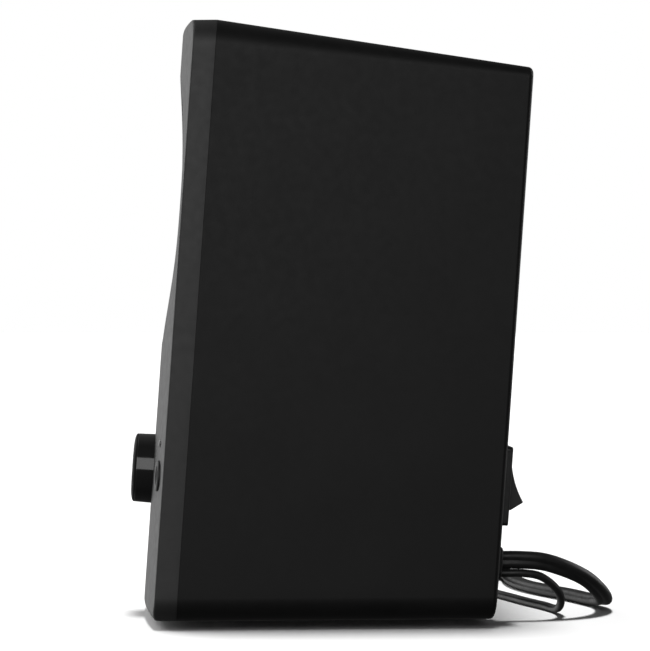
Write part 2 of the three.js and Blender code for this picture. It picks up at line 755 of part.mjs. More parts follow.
// The rocker's side view about its pivot, level: [up, out]
function rocker() {
  const tip = { up: 6.4, out: 6.3 };
  const root = { up: 7.6, out: 2.3 };
  const sag = 0.85;
  const dish = Array.from({ length: 9 }, (_, i) => {
    const up = THREE.MathUtils.lerp(tip.up, -tip.up, i / 8);
    return [up, tip.out - sag * (1 - (up / tip.up) ** 2)];
  });
  const shape = new THREE.Shape();
  shape.moveTo(root.up, root.out);
  dish.forEach(([up, out]) => shape.lineTo(up, out));
  shape.lineTo(-root.up, root.out);
  shape.lineTo(-3, -2);
  shape.lineTo(3, -2);
  const width = 10;
  const geometry = new THREE.ExtrudeGeometry(shape, { depth: width, bevelEnabled: false });
  geometry.translate(0, 0, -width / 2);
  // the drawing's x is up and its y is out
  const basis = new THREE.Matrix4().makeBasis(
    new THREE.Vector3(0, 0, 1),
    new THREE.Vector3(0, 1, 0),
    new THREE.Vector3(-1, 0, 0),
  );
  geometry.applyMatrix4(basis);
  return geometry;
}

piece(switchGroup, 'power_switch_housing', switchHousing(), 'case');
const rockerMesh = piece(switchGroup, 'power_switch_rocker', rocker(), 'case', [
  0,
  FLANGE_FACE - PIVOT_DEPTH,
  0,
]);
rockerMesh.rotation.x = ROCKER_TILT;
[-1, 1].forEach((side) => {
  const name = `power_switch_terminal_${side > 0 ? 'upper' : 'lower'}`;
  piece(switchGroup, name, box(6.3, 7, 0.8), 'brass', [0, -13.7 - GAP - 3.5, side * 4]);
});

function cordBush() {
  const flange = plate(10, 8.5, 2.2, GAP, BUSH_PROUD);
  const neck = plate(8, 6.5, 1.5, -WALL - GAP, GAP + 0.5);
  const clamp = plate(10.4, 8.6, 1.5, -WALL - 6, -WALL - GAP);
  return join([flange, neck, clamp]);
}

const bushGroup = new THREE.Group();
bushGroup.position.set(BUSH_X, 0, BUSH_HEIGHT);
rear.add(bushGroup);
piece(bushGroup, 'cord_bush', cordBush(), 'rubber');
piece(rear, 'output_socket', turned([
  [1.9, 0.9],
  [4.2, 0.9],
  [4.2, GAP],
  [3.1, GAP],
  [3.1, -10],
  [0, -10],
  [0, -9],
  [1.9, -9],
], 28), 'case', [-SOCKET_X + 4, 0, BUSH_HEIGHT + 8]);

POSTS.forEach(({ name, x, z }) => {
  piece(assembly, `case_screw_${name}`, panScrew(2.8, 1.5, 1.4, 8.5), 'steel', [
    x,
    CASE_DEPTH - 1.1 + GAP + z * Math.tan(LEAN),
    z,
  ]);
});

// ---------------------------------------------------------------- the feet

[-1, 1].forEach((side) => ['front', 'rear'].forEach((end) => {
  const pad = turned([
    [0, FOOT.height],
    [FOOT.radius - 1.2, FOOT.height],
    [FOOT.radius, FOOT.height - 0.7],
    [FOOT.radius, -0.5],
    [0, -0.5],
  ], 24);
  pad.rotateX(-Math.PI / 2);
  piece(assembly, `foot_${end}_${side > 0 ? 'right' : 'left'}`, pad, 'rubber', [
    side * FOOT.x,
    end === 'front' ? FOOT.frontDepth : FOOT.rearDepth,
    0,
  ]);
}));

// The object stands centred over the origin, on its feet
speaker.updateMatrixWorld(true);
const bounds = new THREE.Box3().setFromObject(assembly, true);
assembly.position.set(0, -(bounds.min.y + bounds.max.y) / 2, -bounds.min.z);
speaker.updateMatrixWorld(true);

// ---------------------------------------------------------------- the leads

const leads = new THREE.Group();
speaker.add(leads);
const bushFace = bushGroup.localToWorld(new THREE.Vector3(0, BUSH_PROUD, 0));

const MAINS_COIL = { x: -91, y: 22, middle: 27, width: 20, height: 6.6 };
const AUDIO_COIL = { x: -66.5, y: -29, middle: 13.2, width: 8.8, height: 6.8 };

// Each route is [x, y, z], starting at the bush and ending on its coil
const MAINS_ROUTE = [
  [bushFace.x, bushFace.y + GAP, bushFace.z + 1.3],
  [bushFace.x, bushFace.y + 5, bushFace.z + 1.3],
  [bushFace.x - 0.7, bushFace.y + 11.4, bushFace.z + 0.7],
  [bushFace.x - 3, bushFace.y + 18, bushFace.z - 1.6],
  [bushFace.x - 7.2, bushFace.y + 24.2, bushFace.z - 5.2],
  [bushFace.x - 13.4, bushFace.y + 29, bushFace.z - 9.2],
  [bushFace.x - 21.4, bushFace.y + 31.6, bushFace.z - 12.4],
  [bushFace.x - 30, bushFace.y + 31.8, 2.3],
  [-11, bushFace.y + 30, 1.9],
  [-22.5, bushFace.y + 26.4, 1.9],
  [-34, bushFace.y + 21.6, 1.9],
  [-46, bushFace.y + 17.4, 1.9],
  [-57, bushFace.y + 15.4, 1.9],
  [-68, bushFace.y + 15, 1.9],
  [-79, bushFace.y + 15.5, 1.9],
];
const AUDIO_ROUTE = [
  [bushFace.x, bushFace.y + GAP, bushFace.z - 2.4],
  [bushFace.x, bushFace.y + 6, bushFace.z - 2.4],
  [bushFace.x - 0.8, bushFace.y + 10.8, bushFace.z - 3.4],
  [bushFace.x - 3.2, bushFace.y + 15, bushFace.z - 6.6],
  [bushFace.x - 8, bushFace.y + 17.6, bushFace.z - 10.6],
  [bushFace.x - 15, bushFace.y + 17.8, 1.7],
  [bushFace.x - 26, bushFace.y + 15.4, 1.3],
  [-12, bushFace.y + 11.6, 1.3],
  [-24, bushFace.y + 8.4, 1.3],
  [-36, bushFace.y + 4.2, 1.3],
  [-44.4, bushFace.y - 3, 1.3],
  [-48, bushFace.y - 13, 1.3],
  [-48.9, bushFace.y - 25, 1.3],
  [-49, bushFace.y - 40, 1.3],
  [-49.2, bushFace.y - 53, 1.3],
  [-49.3, bushFace.y - 62, 1.3],
];

function along(route) {
  return new THREE.CatmullRomCurve3(route.map((point) => new THREE.Vector3(...point)), false, 'centripetal');
}

function leadTube(route, width, thickness, steps) {
  const shape = new THREE.Shape();
  shape.absellipse(0, 0, width / 2, thickness / 2, 0, 2 * Math.PI);
  const settings = { steps, curveSegments: 4, bevelEnabled: false, extrudePath: along(route) };
  return new THREE.ExtrudeGeometry(shape, settings);
}

function coilRing({ middle, width, height }) {
  const [inner, outer, edge] = [middle - width / 2, middle + width / 2, 1.5];
  return turned([
    [inner + edge, 0],
    [outer - edge, 0],
    [outer, edge],
    [outer, height - edge],
    [outer - edge, height],
    [inner + edge, height],
    [inner, height - edge],
    [inner, edge],
  ], 24).rotateX(Math.PI / 2).translate(0, 0, 0.15);
}

const { width: mainsWidth, thickness: mainsThickness } = MAINS_LEAD;
const audioWidth = 2 * AUDIO_LEAD.radius;
piece(leads, 'mains_lead', leadTube(MAINS_ROUTE, mainsWidth, mainsThickness, 34), 'rubber');
piece(leads, 'mains_lead_coil', coilRing(MAINS_COIL), 'rubber', [MAINS_COIL.x, MAINS_COIL.y, 0]);
piece(leads, 'audio_lead', leadTube(AUDIO_ROUTE, audioWidth, audioWidth, 40), 'rubber');
piece(leads, 'audio_lead_coil', coilRing(AUDIO_COIL), 'rubber', [AUDIO_COIL.x, AUDIO_COIL.y, 0]);

// The plugs lie on their coils
const mainsPlug = new THREE.Group();
mainsPlug.position.set(MAINS_COIL.x - MAINS_COIL.middle, MAINS_COIL.y, MAINS_COIL.height + 7.4);
leads.add(mainsPlug);
piece(mainsPlug, 'mains_plug_body', join([
  plate(13, 13, 3, -20, -10),
  new RoundedBoxGeometry(13, 24, 13.6, 1, 3),
  rod(3.4, 8, 20, 20),
]), 'rubber');
[-1, 1].forEach((side) => {
  const pin = rod(2, -38, -20 - GAP, 16);
  const name = `mains_plug_pin_${side > 0 ? 'upper' : 'lower'}`;
  piece(mainsPlug, name, pin, 'steel', [0, 0, side * 4]);
});
const audioPlug = new THREE.Group();
audioPlug.position.set(AUDIO_COIL.x, AUDIO_COIL.y - AUDIO_COIL.middle, AUDIO_COIL.height + 4.3);
audioPlug.rotation.z = Math.PI / 2;
leads.add(audioPlug);
piece(audioPlug, 'audio_plug_body', turned([
  [0, -14],
  [1.8, -14],
  [2.4, -6],
  [3.7, -5],
  [3.9, 9],
  [3.4, 10],
  [0, 10],
], 24), 'rubber');
piece(audioPlug, 'audio_plug_pin', rod(1.75, 10 + GAP, 24, 16), 'brass');

export default speaker;
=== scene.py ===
"""The looks of an active desktop speaker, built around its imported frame.

The frame is in metres, +Z up, and the front faces -Y. The shapes below are worked out in millimetres, in the
case's own spaces: "front" and "rear" lean back with the case, and "case" is sheared, with a level floor.
"""

import json
import math

import bmesh
import bpy
from mathutils import Matrix, Vector


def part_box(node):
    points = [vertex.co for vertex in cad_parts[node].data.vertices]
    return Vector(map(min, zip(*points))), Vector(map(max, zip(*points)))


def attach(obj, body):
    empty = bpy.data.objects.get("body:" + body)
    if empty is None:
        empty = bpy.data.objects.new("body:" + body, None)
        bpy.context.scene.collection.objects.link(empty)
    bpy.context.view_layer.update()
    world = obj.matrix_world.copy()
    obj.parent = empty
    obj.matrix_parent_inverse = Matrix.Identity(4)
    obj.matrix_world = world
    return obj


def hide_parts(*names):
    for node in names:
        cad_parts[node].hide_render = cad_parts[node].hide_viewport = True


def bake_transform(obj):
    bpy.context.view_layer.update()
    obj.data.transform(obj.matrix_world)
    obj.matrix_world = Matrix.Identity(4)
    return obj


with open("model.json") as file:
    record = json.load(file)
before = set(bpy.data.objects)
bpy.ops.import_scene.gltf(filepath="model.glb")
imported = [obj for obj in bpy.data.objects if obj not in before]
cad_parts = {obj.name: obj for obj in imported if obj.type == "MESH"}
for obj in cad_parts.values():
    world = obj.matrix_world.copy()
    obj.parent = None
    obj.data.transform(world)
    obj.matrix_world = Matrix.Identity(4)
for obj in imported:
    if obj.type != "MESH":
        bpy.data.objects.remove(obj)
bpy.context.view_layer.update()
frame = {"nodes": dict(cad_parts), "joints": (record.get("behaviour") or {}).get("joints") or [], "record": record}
JOINTS = {joint["name"]: joint for joint in frame["joints"]}
MM = 0.001

# Driving dimensions, in millimetres
GAP = 0.3
WALL = 2.5
HALF_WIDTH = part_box("rear_shell")[1][0] / MM
CASE_DEPTH = 90.4
FRONT_HEIGHT = 158.9
REAR_HEIGHT = 146.3
SEAM_DEPTH = 6.0
EDGE_DRAFT = 0.8
REAR_DRAFT = 0.5
BOTTOM_CORNER = 6.6
TOP_CORNER_FRONT = 7.5
TOP_CORNER_REAR = 3.0
BULGE = 2.9
SCOOP = 0.42
SCOOP_HALF_HEIGHT = 23.0
FRONT_BOTTOM_RADIUS = 3.0
FRONT_TOP_RADIUS = 0.9
DRIVER_HEIGHT = 111.2
RING_RADIUS = 35.5
OPENING_RADIUS = 30.6
CONE_RADIUS = 23.6
SEAT_DEPTH = 1.0
BOARD_BEHIND = 3.2
FLANGE_BACK = BOARD_BEHIND + GAP
CONTROLS_HEIGHT = 38.1
SOCKET_X = 32.0
LAMP_X = 31.4
LAMP_RISE = 8.6
SOCKET_HOLE = 2.9
LAMP_HOLE = 1.15
SWITCH_X = 30.6
SWITCH_HEIGHT = 35.5
BUSH_X = 26.0
BUSH_HEIGHT = 14.3
BUSH_PROUD = 2.1
OUTPUT_X = -28.0
OUTPUT_HEIGHT = 22.3
FOOT_RADIUS = 5.5
FOOT_HEIGHT = 1.8
SCREW_WELL = 1.1
POSTS = {
    "lower_left": (-34.5, 8.5),
    "lower_right": (34.5, 8.5),
    "upper_left": (-36, 139.3),
    "upper_right": (36, 139.3),
}

# The spaces that the pieces are drawn in
knob_axis = Vector(JOINTS["knob_turn"]["axis"])
LEAN = math.atan2(-knob_axis.z, knob_axis.y)
leaning = Matrix.Rotation(-LEAN, 4, "X")
CORNER = Vector(JOINTS["knob_turn"]["pos_m"]) - leaning.to_3x3() @ Vector((0, 0, CONTROLS_HEIGHT * MM))
FRONT = Matrix.Translation(CORNER) @ leaning
REAR = Matrix.Translation(CORNER + Vector((0, CASE_DEPTH * MM, 0))) @ leaning
shear = Matrix(((1, 0, 0, 0), (0, 1, math.tan(LEAN), 0), (0, 0, 1, 0), (0, 0, 0, 1)))
CASE = Matrix.Translation(CORNER) @ shear
UPRIGHT = Matrix.Identity(4)


def shifted(space, x=0.0, y=0.0, z=0.0):
    return space @ Matrix.Translation(Vector((x, y, z)) * MM)


DRIVER = shifted(FRONT, z=DRIVER_HEIGHT)
CONTROLS = shifted(FRONT, z=CONTROLS_HEIGHT)
BUSH = shifted(REAR, BUSH_X, 0, BUSH_HEIGHT)


# ---------------------------------------------------------------- camera

CAMERA_DISTANCE = 690.0  # from the side that faces it
CAMERA_Y = -40.9
CAMERA_Z = 83.7
AIM_Y = -2.0
AIM_Z = 79.9
LENS = 145.7


def make_camera():
    data = bpy.data.cameras.new("camera")
    data.lens = LENS
    data.sensor_width = 36.0
    data.clip_start = 0.05
    camera = bpy.data.objects.new("camera", data)
    bpy.context.scene.collection.objects.link(camera)
    place = Vector((HALF_WIDTH + CAMERA_DISTANCE, CAMERA_Y, CAMERA_Z)) * MM
    aim = Vector((HALF_WIDTH, AIM_Y, AIM_Z)) * MM
    camera.location = place
    camera.rotation_euler = (aim - place).to_track_quat("-Z", "Y").to_euler()
    bpy.context.scene.camera = camera


# ---------------------------------------------------------------- mesh helpers

SMOOTH_ANGLE = 35  # in degrees; edges that turn by more stay sharp


def mesh_object(name, points, faces, space=UPRIGHT, smooth_angle=SMOOTH_ANGLE):
    """A closed mesh from points in millimetres in one of the spaces."""
    mesh = bpy.data.meshes.new(name)
    mesh.from_pydata([space @ (Vector(point) * MM) for point in points], [], faces)
    bm = bmesh.new()
    bm.from_mesh(mesh)
    bmesh.ops.remove_doubles(bm, verts=bm.verts, dist=1e-7)
    bmesh.ops.recalc_face_normals(bm, faces=bm.faces)
    bm.to_mesh(mesh)
    bm.free()
    piece = bpy.data.objects.new(name, mesh)
    bpy.context.scene.collection.objects.link(piece)
    shade(piece, smooth_angle)
    return piece


def shade(piece, smooth_angle=SMOOTH_ANGLE):
    mesh = piece.data
    mesh.polygons.foreach_set("use_smooth", [True] * len(mesh.polygons))
    mesh.set_sharp_from_angle(angle=math.radians(smooth_angle))
    mesh.update()


def even_normals(piece):
    weighted = piece.modifiers.new("even_normals", "WEIGHTED_NORMAL")
    weighted.keep_sharp = True
    weighted.weight = 80
    return piece


def rings_mesh(name, rings, space=UPRIGHT, closed=False, smooth_angle=SMOOTH_ANGLE):
    """Skins rings of the same number of points. A closed one joins its last ring to its first, and an open
    one gets flat ends."""
    count = len(rings[0])
    points = [point for ring in rings for point in ring]
    faces = []
    spans = len(rings) if closed else len(rings) - 1
    for r in range(spans):
        a, b = r * count, (r + 1) % len(rings) * count
        faces += [(a + i, a + (i + 1) % count, b + (i + 1) % count, b + i) for i in range(count)]
    if not closed:
        faces.append(tuple(range(count)))
        faces.append(tuple((len(rings) - 1) * count + i for i in range(count)))
    return mesh_object(name, points, faces, space, smooth_angle)


def turned(name, profile, space, segments=96):
    """Turns a profile of (radius, distance back) about the space's Y axis. It starts and ends on the axis, or
    closes on itself."""
    on_axis = profile[0][0] == 0 and profile[-1][0] == 0
    points, rows = [], []
    for radius, back in profile:
        if radius == 0:
            rows.append([len(points)] * segments)
            points.append((0, back, 0))
            continue
        rows.append([len(points) + i for i in range(segments)])
        for i in range(segments):
            angle = 2 * math.pi * i / segments
            points.append((radius * math.cos(angle), back, radius * math.sin(angle)))
    pairs = list(zip(rows, rows[1:]))
    if not on_axis:
        pairs.append((rows[-1], rows[0]))
    faces = []
    for low, high in pairs:
        for i in range(segments):
            j = (i + 1) % segments
            corners = [low[i], low[j], high[j], high[i]]
            face = tuple(dict.fromkeys(corners))
            if len(face) > 2:
                faces.append(face)
    return even_normals(mesh_object(name, points, faces, space))


def rounded(points, radius, steps=4, closed=True):
    """A polyline with its corners rounded; a corner can have its own radius as a third number."""
    result = []
    count = len(points)
    for i, point in enumerate(points):
        here = Vector(point[:2])
        reach = point[2] if len(point) > 2 else radius
        if not closed and i in (0, count - 1) or reach == 0:
            result.append(tuple(here))
            continue
        before, after = Vector(points[i - 1][:2]), Vector(points[(i + 1) % count][:2])
        to_before, to_after = (before - here), (after - here)
        if to_before.length == 0 or to_after.length == 0:
            result.append(tuple(here))
            continue
        half = to_before.angle(to_after) / 2
        back = min(reach / max(math.tan(half), 1e-6), 0.49 * to_before.length, 0.49 * to_after.length)
        start, end = here + to_before.normalized() * back, here + to_after.normalized() * back
        for k in range(steps + 1):
            t = k / steps
            result.append(tuple((1 - t) ** 2 * start + 2 * t * (1 - t) * here + t**2 * end))
    return result


def extruded(name, outline, low, high, space, bevel=0.0, segments=3):
    """A prism of an (x, z) outline, from one distance back to another, with rounded rims."""
    ring = lambda y: [(x, y, z) for x, z in outline]
    piece = rings_mesh(name, [ring(low), ring(high)], space)
    if bevel:
        soften(piece, bevel, segments)
    return piece


def soften(piece, width, segments=3):
    bevel = piece.modifiers.new("soften", "BEVEL")
    bevel.width = width * MM
    bevel.segments = segments
    bevel.limit_method = "ANGLE"
    bevel.angle_limit = math.radians(40)
    bevel.harden_normals = False
    apply_modifiers(piece)
    shade(piece, 50)
    even_normals(piece)


def apply_modifiers(piece):
    graph = bpy.context.evaluated_depsgraph_get()
    mesh = bpy.data.meshes.new_from_object(piece.evaluated_get(graph))
    piece.modifiers.clear()
    piece.data = mesh


def cut(piece, tools):
    """Takes the tools' shapes out of a piece, and the tools out of the scene."""
    piece.modifiers.clear()
    for tool in tools:
        modifier = piece.modifiers.new("cut", "BOOLEAN")
        modifier.operation = "DIFFERENCE"
        modifier.solver = "EXACT"
        modifier.object = tool
    apply_modifiers(piece)
    for tool in tools:
        bpy.data.objects.remove(tool)
    shade(piece)
    return even_normals(piece)


def tool_rod(radius, low, high, space, segments=48):
    piece = turned("tool", [(0, low), (radius, low), (radius, high), (0, high)], space, segments)
    piece.modifiers.clear()
    return piece


def tool_box(size, space):
    x, y, z = (side / 2 for side in size)
    outline = [(-x, -z), (x, -z), (x, z), (-x, z)]
    return extruded("tool", outline, -y, y, space)


def joined(pieces, name):
    """One mesh object out of several that touch or stand apart."""
    graph = bpy.context.evaluated_depsgraph_get()
    bm = bmesh.new()
    for piece in pieces:
        bm.from_mesh(piece.evaluated_get(graph).to_mesh())
        piece.evaluated_get(graph).to_mesh_clear()
    mesh = bpy.data.meshes.new(name)
    bm.to_mesh(mesh)
    bm.free()
    for piece in pieces:
        bpy.data.objects.remove(piece)
    result = bpy.data.objects.new(name, mesh)
    bpy.context.scene.collection.objects.link(result)
    shade(result)
    return even_normals(result)


# ---------------------------------------------------------------- materials

NOISE_LOW, NOISE_HIGH = 0.3, 0.7  # the stretch of a noise's values that a colour or a roughness spreads over


class Look:
    """A material's node tree, with short names for what is used often."""

    def __init__(self, name):
        self.material = bpy.data.materials.new(name)
        self.material.use_nodes = True
        self.nodes = self.material.node_tree.nodes
        self.links = self.material.node_tree.links
        self.shader = self.nodes["Principled BSDF"]
        self.place = self.nodes.new("ShaderNodeTexCoord").outputs["Object"]

    def set(self, **values):
        for name, value in values.items():
            self.shader.inputs[name.replace("_", " ").title().replace("Ior", "IOR")].default_value = value

    def noise(self, per_mm, detail=3.0, roughness=0.5, distortion=0.0):
        node = self.nodes.new("ShaderNodeTexNoise")
        node.inputs["Scale"].default_value = per_mm / MM
        node.inputs["Detail"].default_value = detail
        node.inputs["Roughness"].default_value = roughness
        node.inputs["Distortion"].default_value = distortion
        self.links.new(self.place, node.inputs["Vector"])
        return node.outputs["Fac"]

    def ramp(self, source, low, high):
        node = self.nodes.new("ShaderNodeMapRange")
        node.inputs["From Min"].default_value = NOISE_LOW
        node.inputs["From Max"].default_value = NOISE_HIGH
        node.inputs["To Min"].default_value = low
        node.inputs["To Max"].default_value = high
        self.links.new(source, node.inputs["Value"])
        return node.outputs["Result"]

    def tint(self, source, low, high):
        node = self.nodes.new("ShaderNodeValToRGB")
        node.color_ramp.elements[0].position = NOISE_LOW
        node.color_ramp.elements[0].color = (*low, 1)
        node.color_ramp.elements[1].position = NOISE_HIGH
        node.color_ramp.elements[1].color = (*high, 1)
        self.links.new(source, node.inputs["Fac"])
        self.links.new(node.outputs["Color"], self.shader.inputs["Base Color"])

    def rough(self, source):
        self.links.new(source, self.shader.inputs["Roughness"])

    def bump(self, source, depth_mm):
        node = self.nodes.new("ShaderNodeBump")
        node.inputs["Strength"].default_value = 1.0
        node.inputs["Distance"].default_value = depth_mm * MM
        self.links.new(source, node.inputs["Height"])
        self.links.new(node.outputs["Normal"], self.shader.inputs["Normal"])


def grey(value):
    return (value, value, value)


def satin_plastic(name, dark, light, rough_low, rough_high, level):
    look = Look(name)
    look.set(specular_ior_level=level)
    look.tint(look.noise(0.05, 2), grey(dark), grey(light))
    look.rough(look.ramp(look.noise(0.4, 4), rough_low, rough_high))
    look.bump(look.noise(3.2, 2, 0.6), 0.012)
    return look.material


def gloss_plastic(name, dark, light, level=0.5):
    look = Look(name)
    look.set(specular_ior_level=level)
    look.tint(look.noise(0.08, 2), grey(dark), grey(light))
    look.rough(look.ramp(look.noise(0.25, 5), 0.07, 0.13))
    look.bump(look.noise(0.15, 2), 0.01)
    return look.material


def rubber(name, dark, light, rough_low=0.55, rough_high=0.7):
    look = Look(name)
    look.set(specular_ior_level=0.3)
    look.tint(look.noise(0.2, 3), grey(dark), grey(light))
    look.rough(look.ramp(look.noise(0.8, 4), rough_low, rough_high))
    look.bump(look.noise(2.2, 3, 0.6), 0.02)
    return look.material


def pressed_paper(name):
    look = Look(name)
    look.set(specular_ior_level=0.2)
    look.tint(look.noise(0.9, 5, 0.7), grey(0.012), grey(0.03))
    look.rough(look.ramp(look.noise(1.5, 4), 0.75, 0.95))
    look.bump(look.noise(1.3, 6, 0.7, 0.6), 0.06)
    return look.material


def metal(name, dark, light, rough_low, rough_high):
    look = Look(name)
    look.set(metallic=1.0)
    look.tint(look.noise(0.3, 4), dark, light)
    look.rough(look.ramp(look.noise(1.6, 5, 0.6, distortion=1.0), rough_low, rough_high))
    look.bump(look.noise(2.5, 3), 0.006)
    return look.material


def sintered(name, dark, light):
    look = Look(name)
    look.set(specular_ior_level=0.3)
    look.tint(look.noise(1.2, 5), dark, light)
    look.rough(look.ramp(look.noise(1.0, 4), 0.6, 0.85))
    look.bump(look.noise(2.0, 4), 0.03)
    return look.material


def white_paint(name):
    look = Look(name)
    look.tint(look.noise(0.6, 4), grey(0.55), grey(0.68))
    look.rough(look.ramp(look.noise(1.5, 3), 0.45, 0.6))
    look.bump(look.noise(2.0, 2), 0.008)
    return look.material


LOOKS = {
    "case_plastic": satin_plastic("case_plastic", 0.0044, 0.0056, 0.42, 0.5, 0.13),
    "front_plastic": satin_plastic("front_plastic", 0.009, 0.0115, 0.46, 0.54, 0.25),
    "gloss_black": gloss_plastic("gloss_black", 0.004, 0.0055),
    "black_rubber": rubber("black_rubber", 0.006, 0.01),
    "cone_paper": pressed_paper("cone_paper"),
    "plated_steel": metal("plated_steel", grey(0.42), grey(0.58), 0.25, 0.42),
    "brass_contact": metal("brass_contact", (0.55, 0.38, 0.16), (0.7, 0.5, 0.24), 0.22, 0.36),
    "copper_winding": metal("copper_winding", (0.42, 0.16, 0.07), (0.6, 0.25, 0.12), 0.3, 0.45),
    "ferrite": sintered("ferrite", grey(0.018), grey(0.035)),
    "circuit_board": sintered("circuit_board", (0.015, 0.07, 0.025), (0.02, 0.1, 0.035)),
    "lamp_lens": gloss_plastic("lamp_lens", 0.02, 0.03, 0.6),
}
KNOB_LOOK = gloss_plastic("knob_side", 0.009, 0.0105, 0.38)
KNOB_FRONT_LOOK = satin_plastic("knob_front", 0.0055, 0.007, 0.5, 0.6, 0.03)
LEAD_LOOK = rubber("lead_jacket", 0.008, 0.013, 0.38, 0.5)
MARK_LOOK = white_paint("mark_paint")
SWITCH_LOOK = satin_plastic("switch_nylon", 0.0075, 0.0095, 0.34, 0.42, 0.24)


def wear(piece, look):
    piece.data.materials.clear()
    piece.data.materials.append(look)


def dress_frame():
    """Every CAD node gets its slot's material."""
    for part in frame["record"]["subparts"]:
        wear(frame["nodes"][part["node"]], LOOKS[part["material_slot"]])


def settle(piece, body, slot, *nodes, look=None):
    """Puts a new piece on a body in place of CAD nodes, in its slot's finish."""
    wear(piece, look or LOOKS[slot])
    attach(piece, body)
    if nodes:
        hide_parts(*nodes)


# ---------------------------------------------------------------- the case


def corner_outline(half_width, height, top_corner, bottom_corner, inset=0.0, spacing=2.2, steps=9):
    """A rounded rectangle standing on z = 0: (x, z) points counted anticlockwise, with more along its sides.
    The sides' counts come from the whole case, so that outlines of one spacing can be skinned together."""
    centres = [
        (half_width - top_corner, height - top_corner, top_corner, 0),
        (-half_width + top_corner, height - top_corner, top_corner, 1),
        (-half_width + bottom_corner, bottom_corner, bottom_corner, 2),
        (half_width - bottom_corner, bottom_corner, bottom_corner, 3),
    ]
    corners = []
    for x, z, radius, quarter in centres:
        for k in range(steps + 1):
            angle = (quarter + k / steps) * math.pi / 2
            reach = radius - inset
            corners.append(Vector((x + reach * math.cos(angle), z + reach * math.sin(angle))))
    sides = [max(2, round(length / spacing)) for length in (2 * HALF_WIDTH, FRONT_HEIGHT) * 2]
    points = []
    for i, corner in enumerate(corners):
        points.append(corner)
        if i % (steps + 1) == steps:
            after = corners[(i + 1) % len(corners)]
            count = sides[i // (steps + 1)]
            points += [corner.lerp(after, k / count) for k in range(1, count)]
    return points


def forward(x, z):
    """How far the front stands ahead of its edges' plane."""
    across = 1 - min(1.0, abs(x) / (HALF_WIDTH - EDGE_DRAFT)) ** 2
    scoop = SCOOP * math.exp(-((abs(z - DRIVER_HEIGHT) / SCOOP_HALF_HEIGHT) ** 3.2))
    return BULGE * across * (1 - scoop)


def rounded_back(z):
    """How far the front falls back at its bottom and top edges."""

    def fall(radius, into):
        return radius - math.sqrt(max(0.0, radius**2 - into**2))

    low = max(0.0, FRONT_BOTTOM_RADIUS - z)
    high = max(0.0, z - (FRONT_HEIGHT - FRONT_TOP_RADIUS))
    return fall(FRONT_BOTTOM_RADIUS, low) + fall(FRONT_TOP_RADIUS, high)


def face_depth(x, z):
    return rounded_back(z) - forward(x, z)


def front_baffle():
    """One closed skin, from the driver's opening over the waved face, round the edge and back inside."""
    crease, seam_round = 0.7, 0.05
    tongue_back, board_inset = SEAM_DEPTH + 2.5, 4.2
    centre = Vector((0, DRIVER_HEIGHT * math.cos(LEAN)))
    narrow = HALF_WIDTH - EDGE_DRAFT

    def edge(inset):
        return corner_outline(narrow, FRONT_HEIGHT, TOP_CORNER_FRONT, BOTTOM_CORNER, inset)

    def seam(inset):
        return corner_outline(HALF_WIDTH, FRONT_HEIGHT, TOP_CORNER_FRONT, BOTTOM_CORNER, inset)

    def circle(radius, depth):
        return [(centre.x + radius * d.x, depth, centre.y + radius * d.y) for d in directions]

    inner, outer = edge(crease), edge(0)
    directions = [(point - centre).normalized() for point in inner]
    hole = RING_RADIUS + GAP
    rings = [circle(OPENING_RADIUS, BOARD_BEHIND), circle(OPENING_RADIUS, SEAT_DEPTH + 0.3)]
    rings += [circle(OPENING_RADIUS + 0.3, SEAT_DEPTH), circle(hole, SEAT_DEPTH)]
    steps = 46
    for k in range(steps + 1):
        share = 1 - (1 - k / steps) ** 1.6
        ring = []
        for direction, rim in zip(directions, inner):
            point = (centre + direction * hole).lerp(rim, share)
            ring.append((point.x, face_depth(point.x, point.y) + (0.25 if k == 0 else 0), point.y))
        rings.append(ring)
    edge_depth = [face_depth(point.x, point.y) for point in inner]
    for k in range(1, 5):
        angle = k / 4 * math.pi / 2
        at = edge(crease * (1 - math.sin(angle)))
        rings.append([(p.x, d + crease * (1 - math.cos(angle)), p.y) for p, d in zip(at, edge_depth)])
    wide = seam(0)
    for k in range(1, 8):
        share = k / 8
        ring = []
        for a, b, depth in zip(outer, wide, edge_depth):
            start, end = depth + crease, SEAM_DEPTH - seam_round
            start = min(start, end - 0.05)
            point = a.lerp(b, 1 - (1 - share) ** 1.25)
            ring.append((point.x, start + share * (end - start), point.y))
        rings.append(ring)
    for k in range(0, 5):
        angle = k / 4 * math.pi / 2
        at = seam(seam_round * (1 - math.cos(angle)))
        depth = SEAM_DEPTH - seam_round * (1 - math.sin(angle))
        rings.append([(p.x, depth, p.y) for p in at])
    tongue = WALL + GAP
    for inset, depth in ((tongue, SEAM_DEPTH), (tongue, tongue_back), (board_inset, tongue_back)):
        rings.append([(p.x, depth, p.y) for p in seam(inset)])
    rings.append([(p.x, BOARD_BEHIND, p.y) for p in seam(board_inset)])
    piece = rings_mesh("front_baffle_skin", rings, CASE, closed=True)
    ahead, through = -6, 8
    return cut(piece, [
        tool_rod(KNOB_RADIUS + 0.6, ahead, -BULGE + KNOB_POCKET, CONTROLS, 128),
        tool_rod(SOCKET_HOLE, ahead, through, shifted(CONTROLS, SOCKET_X)),
        tool_rod(LAMP_HOLE, ahead, through, shifted(CONTROLS, LAMP_X, 0, LAMP_RISE), 32),
    ])


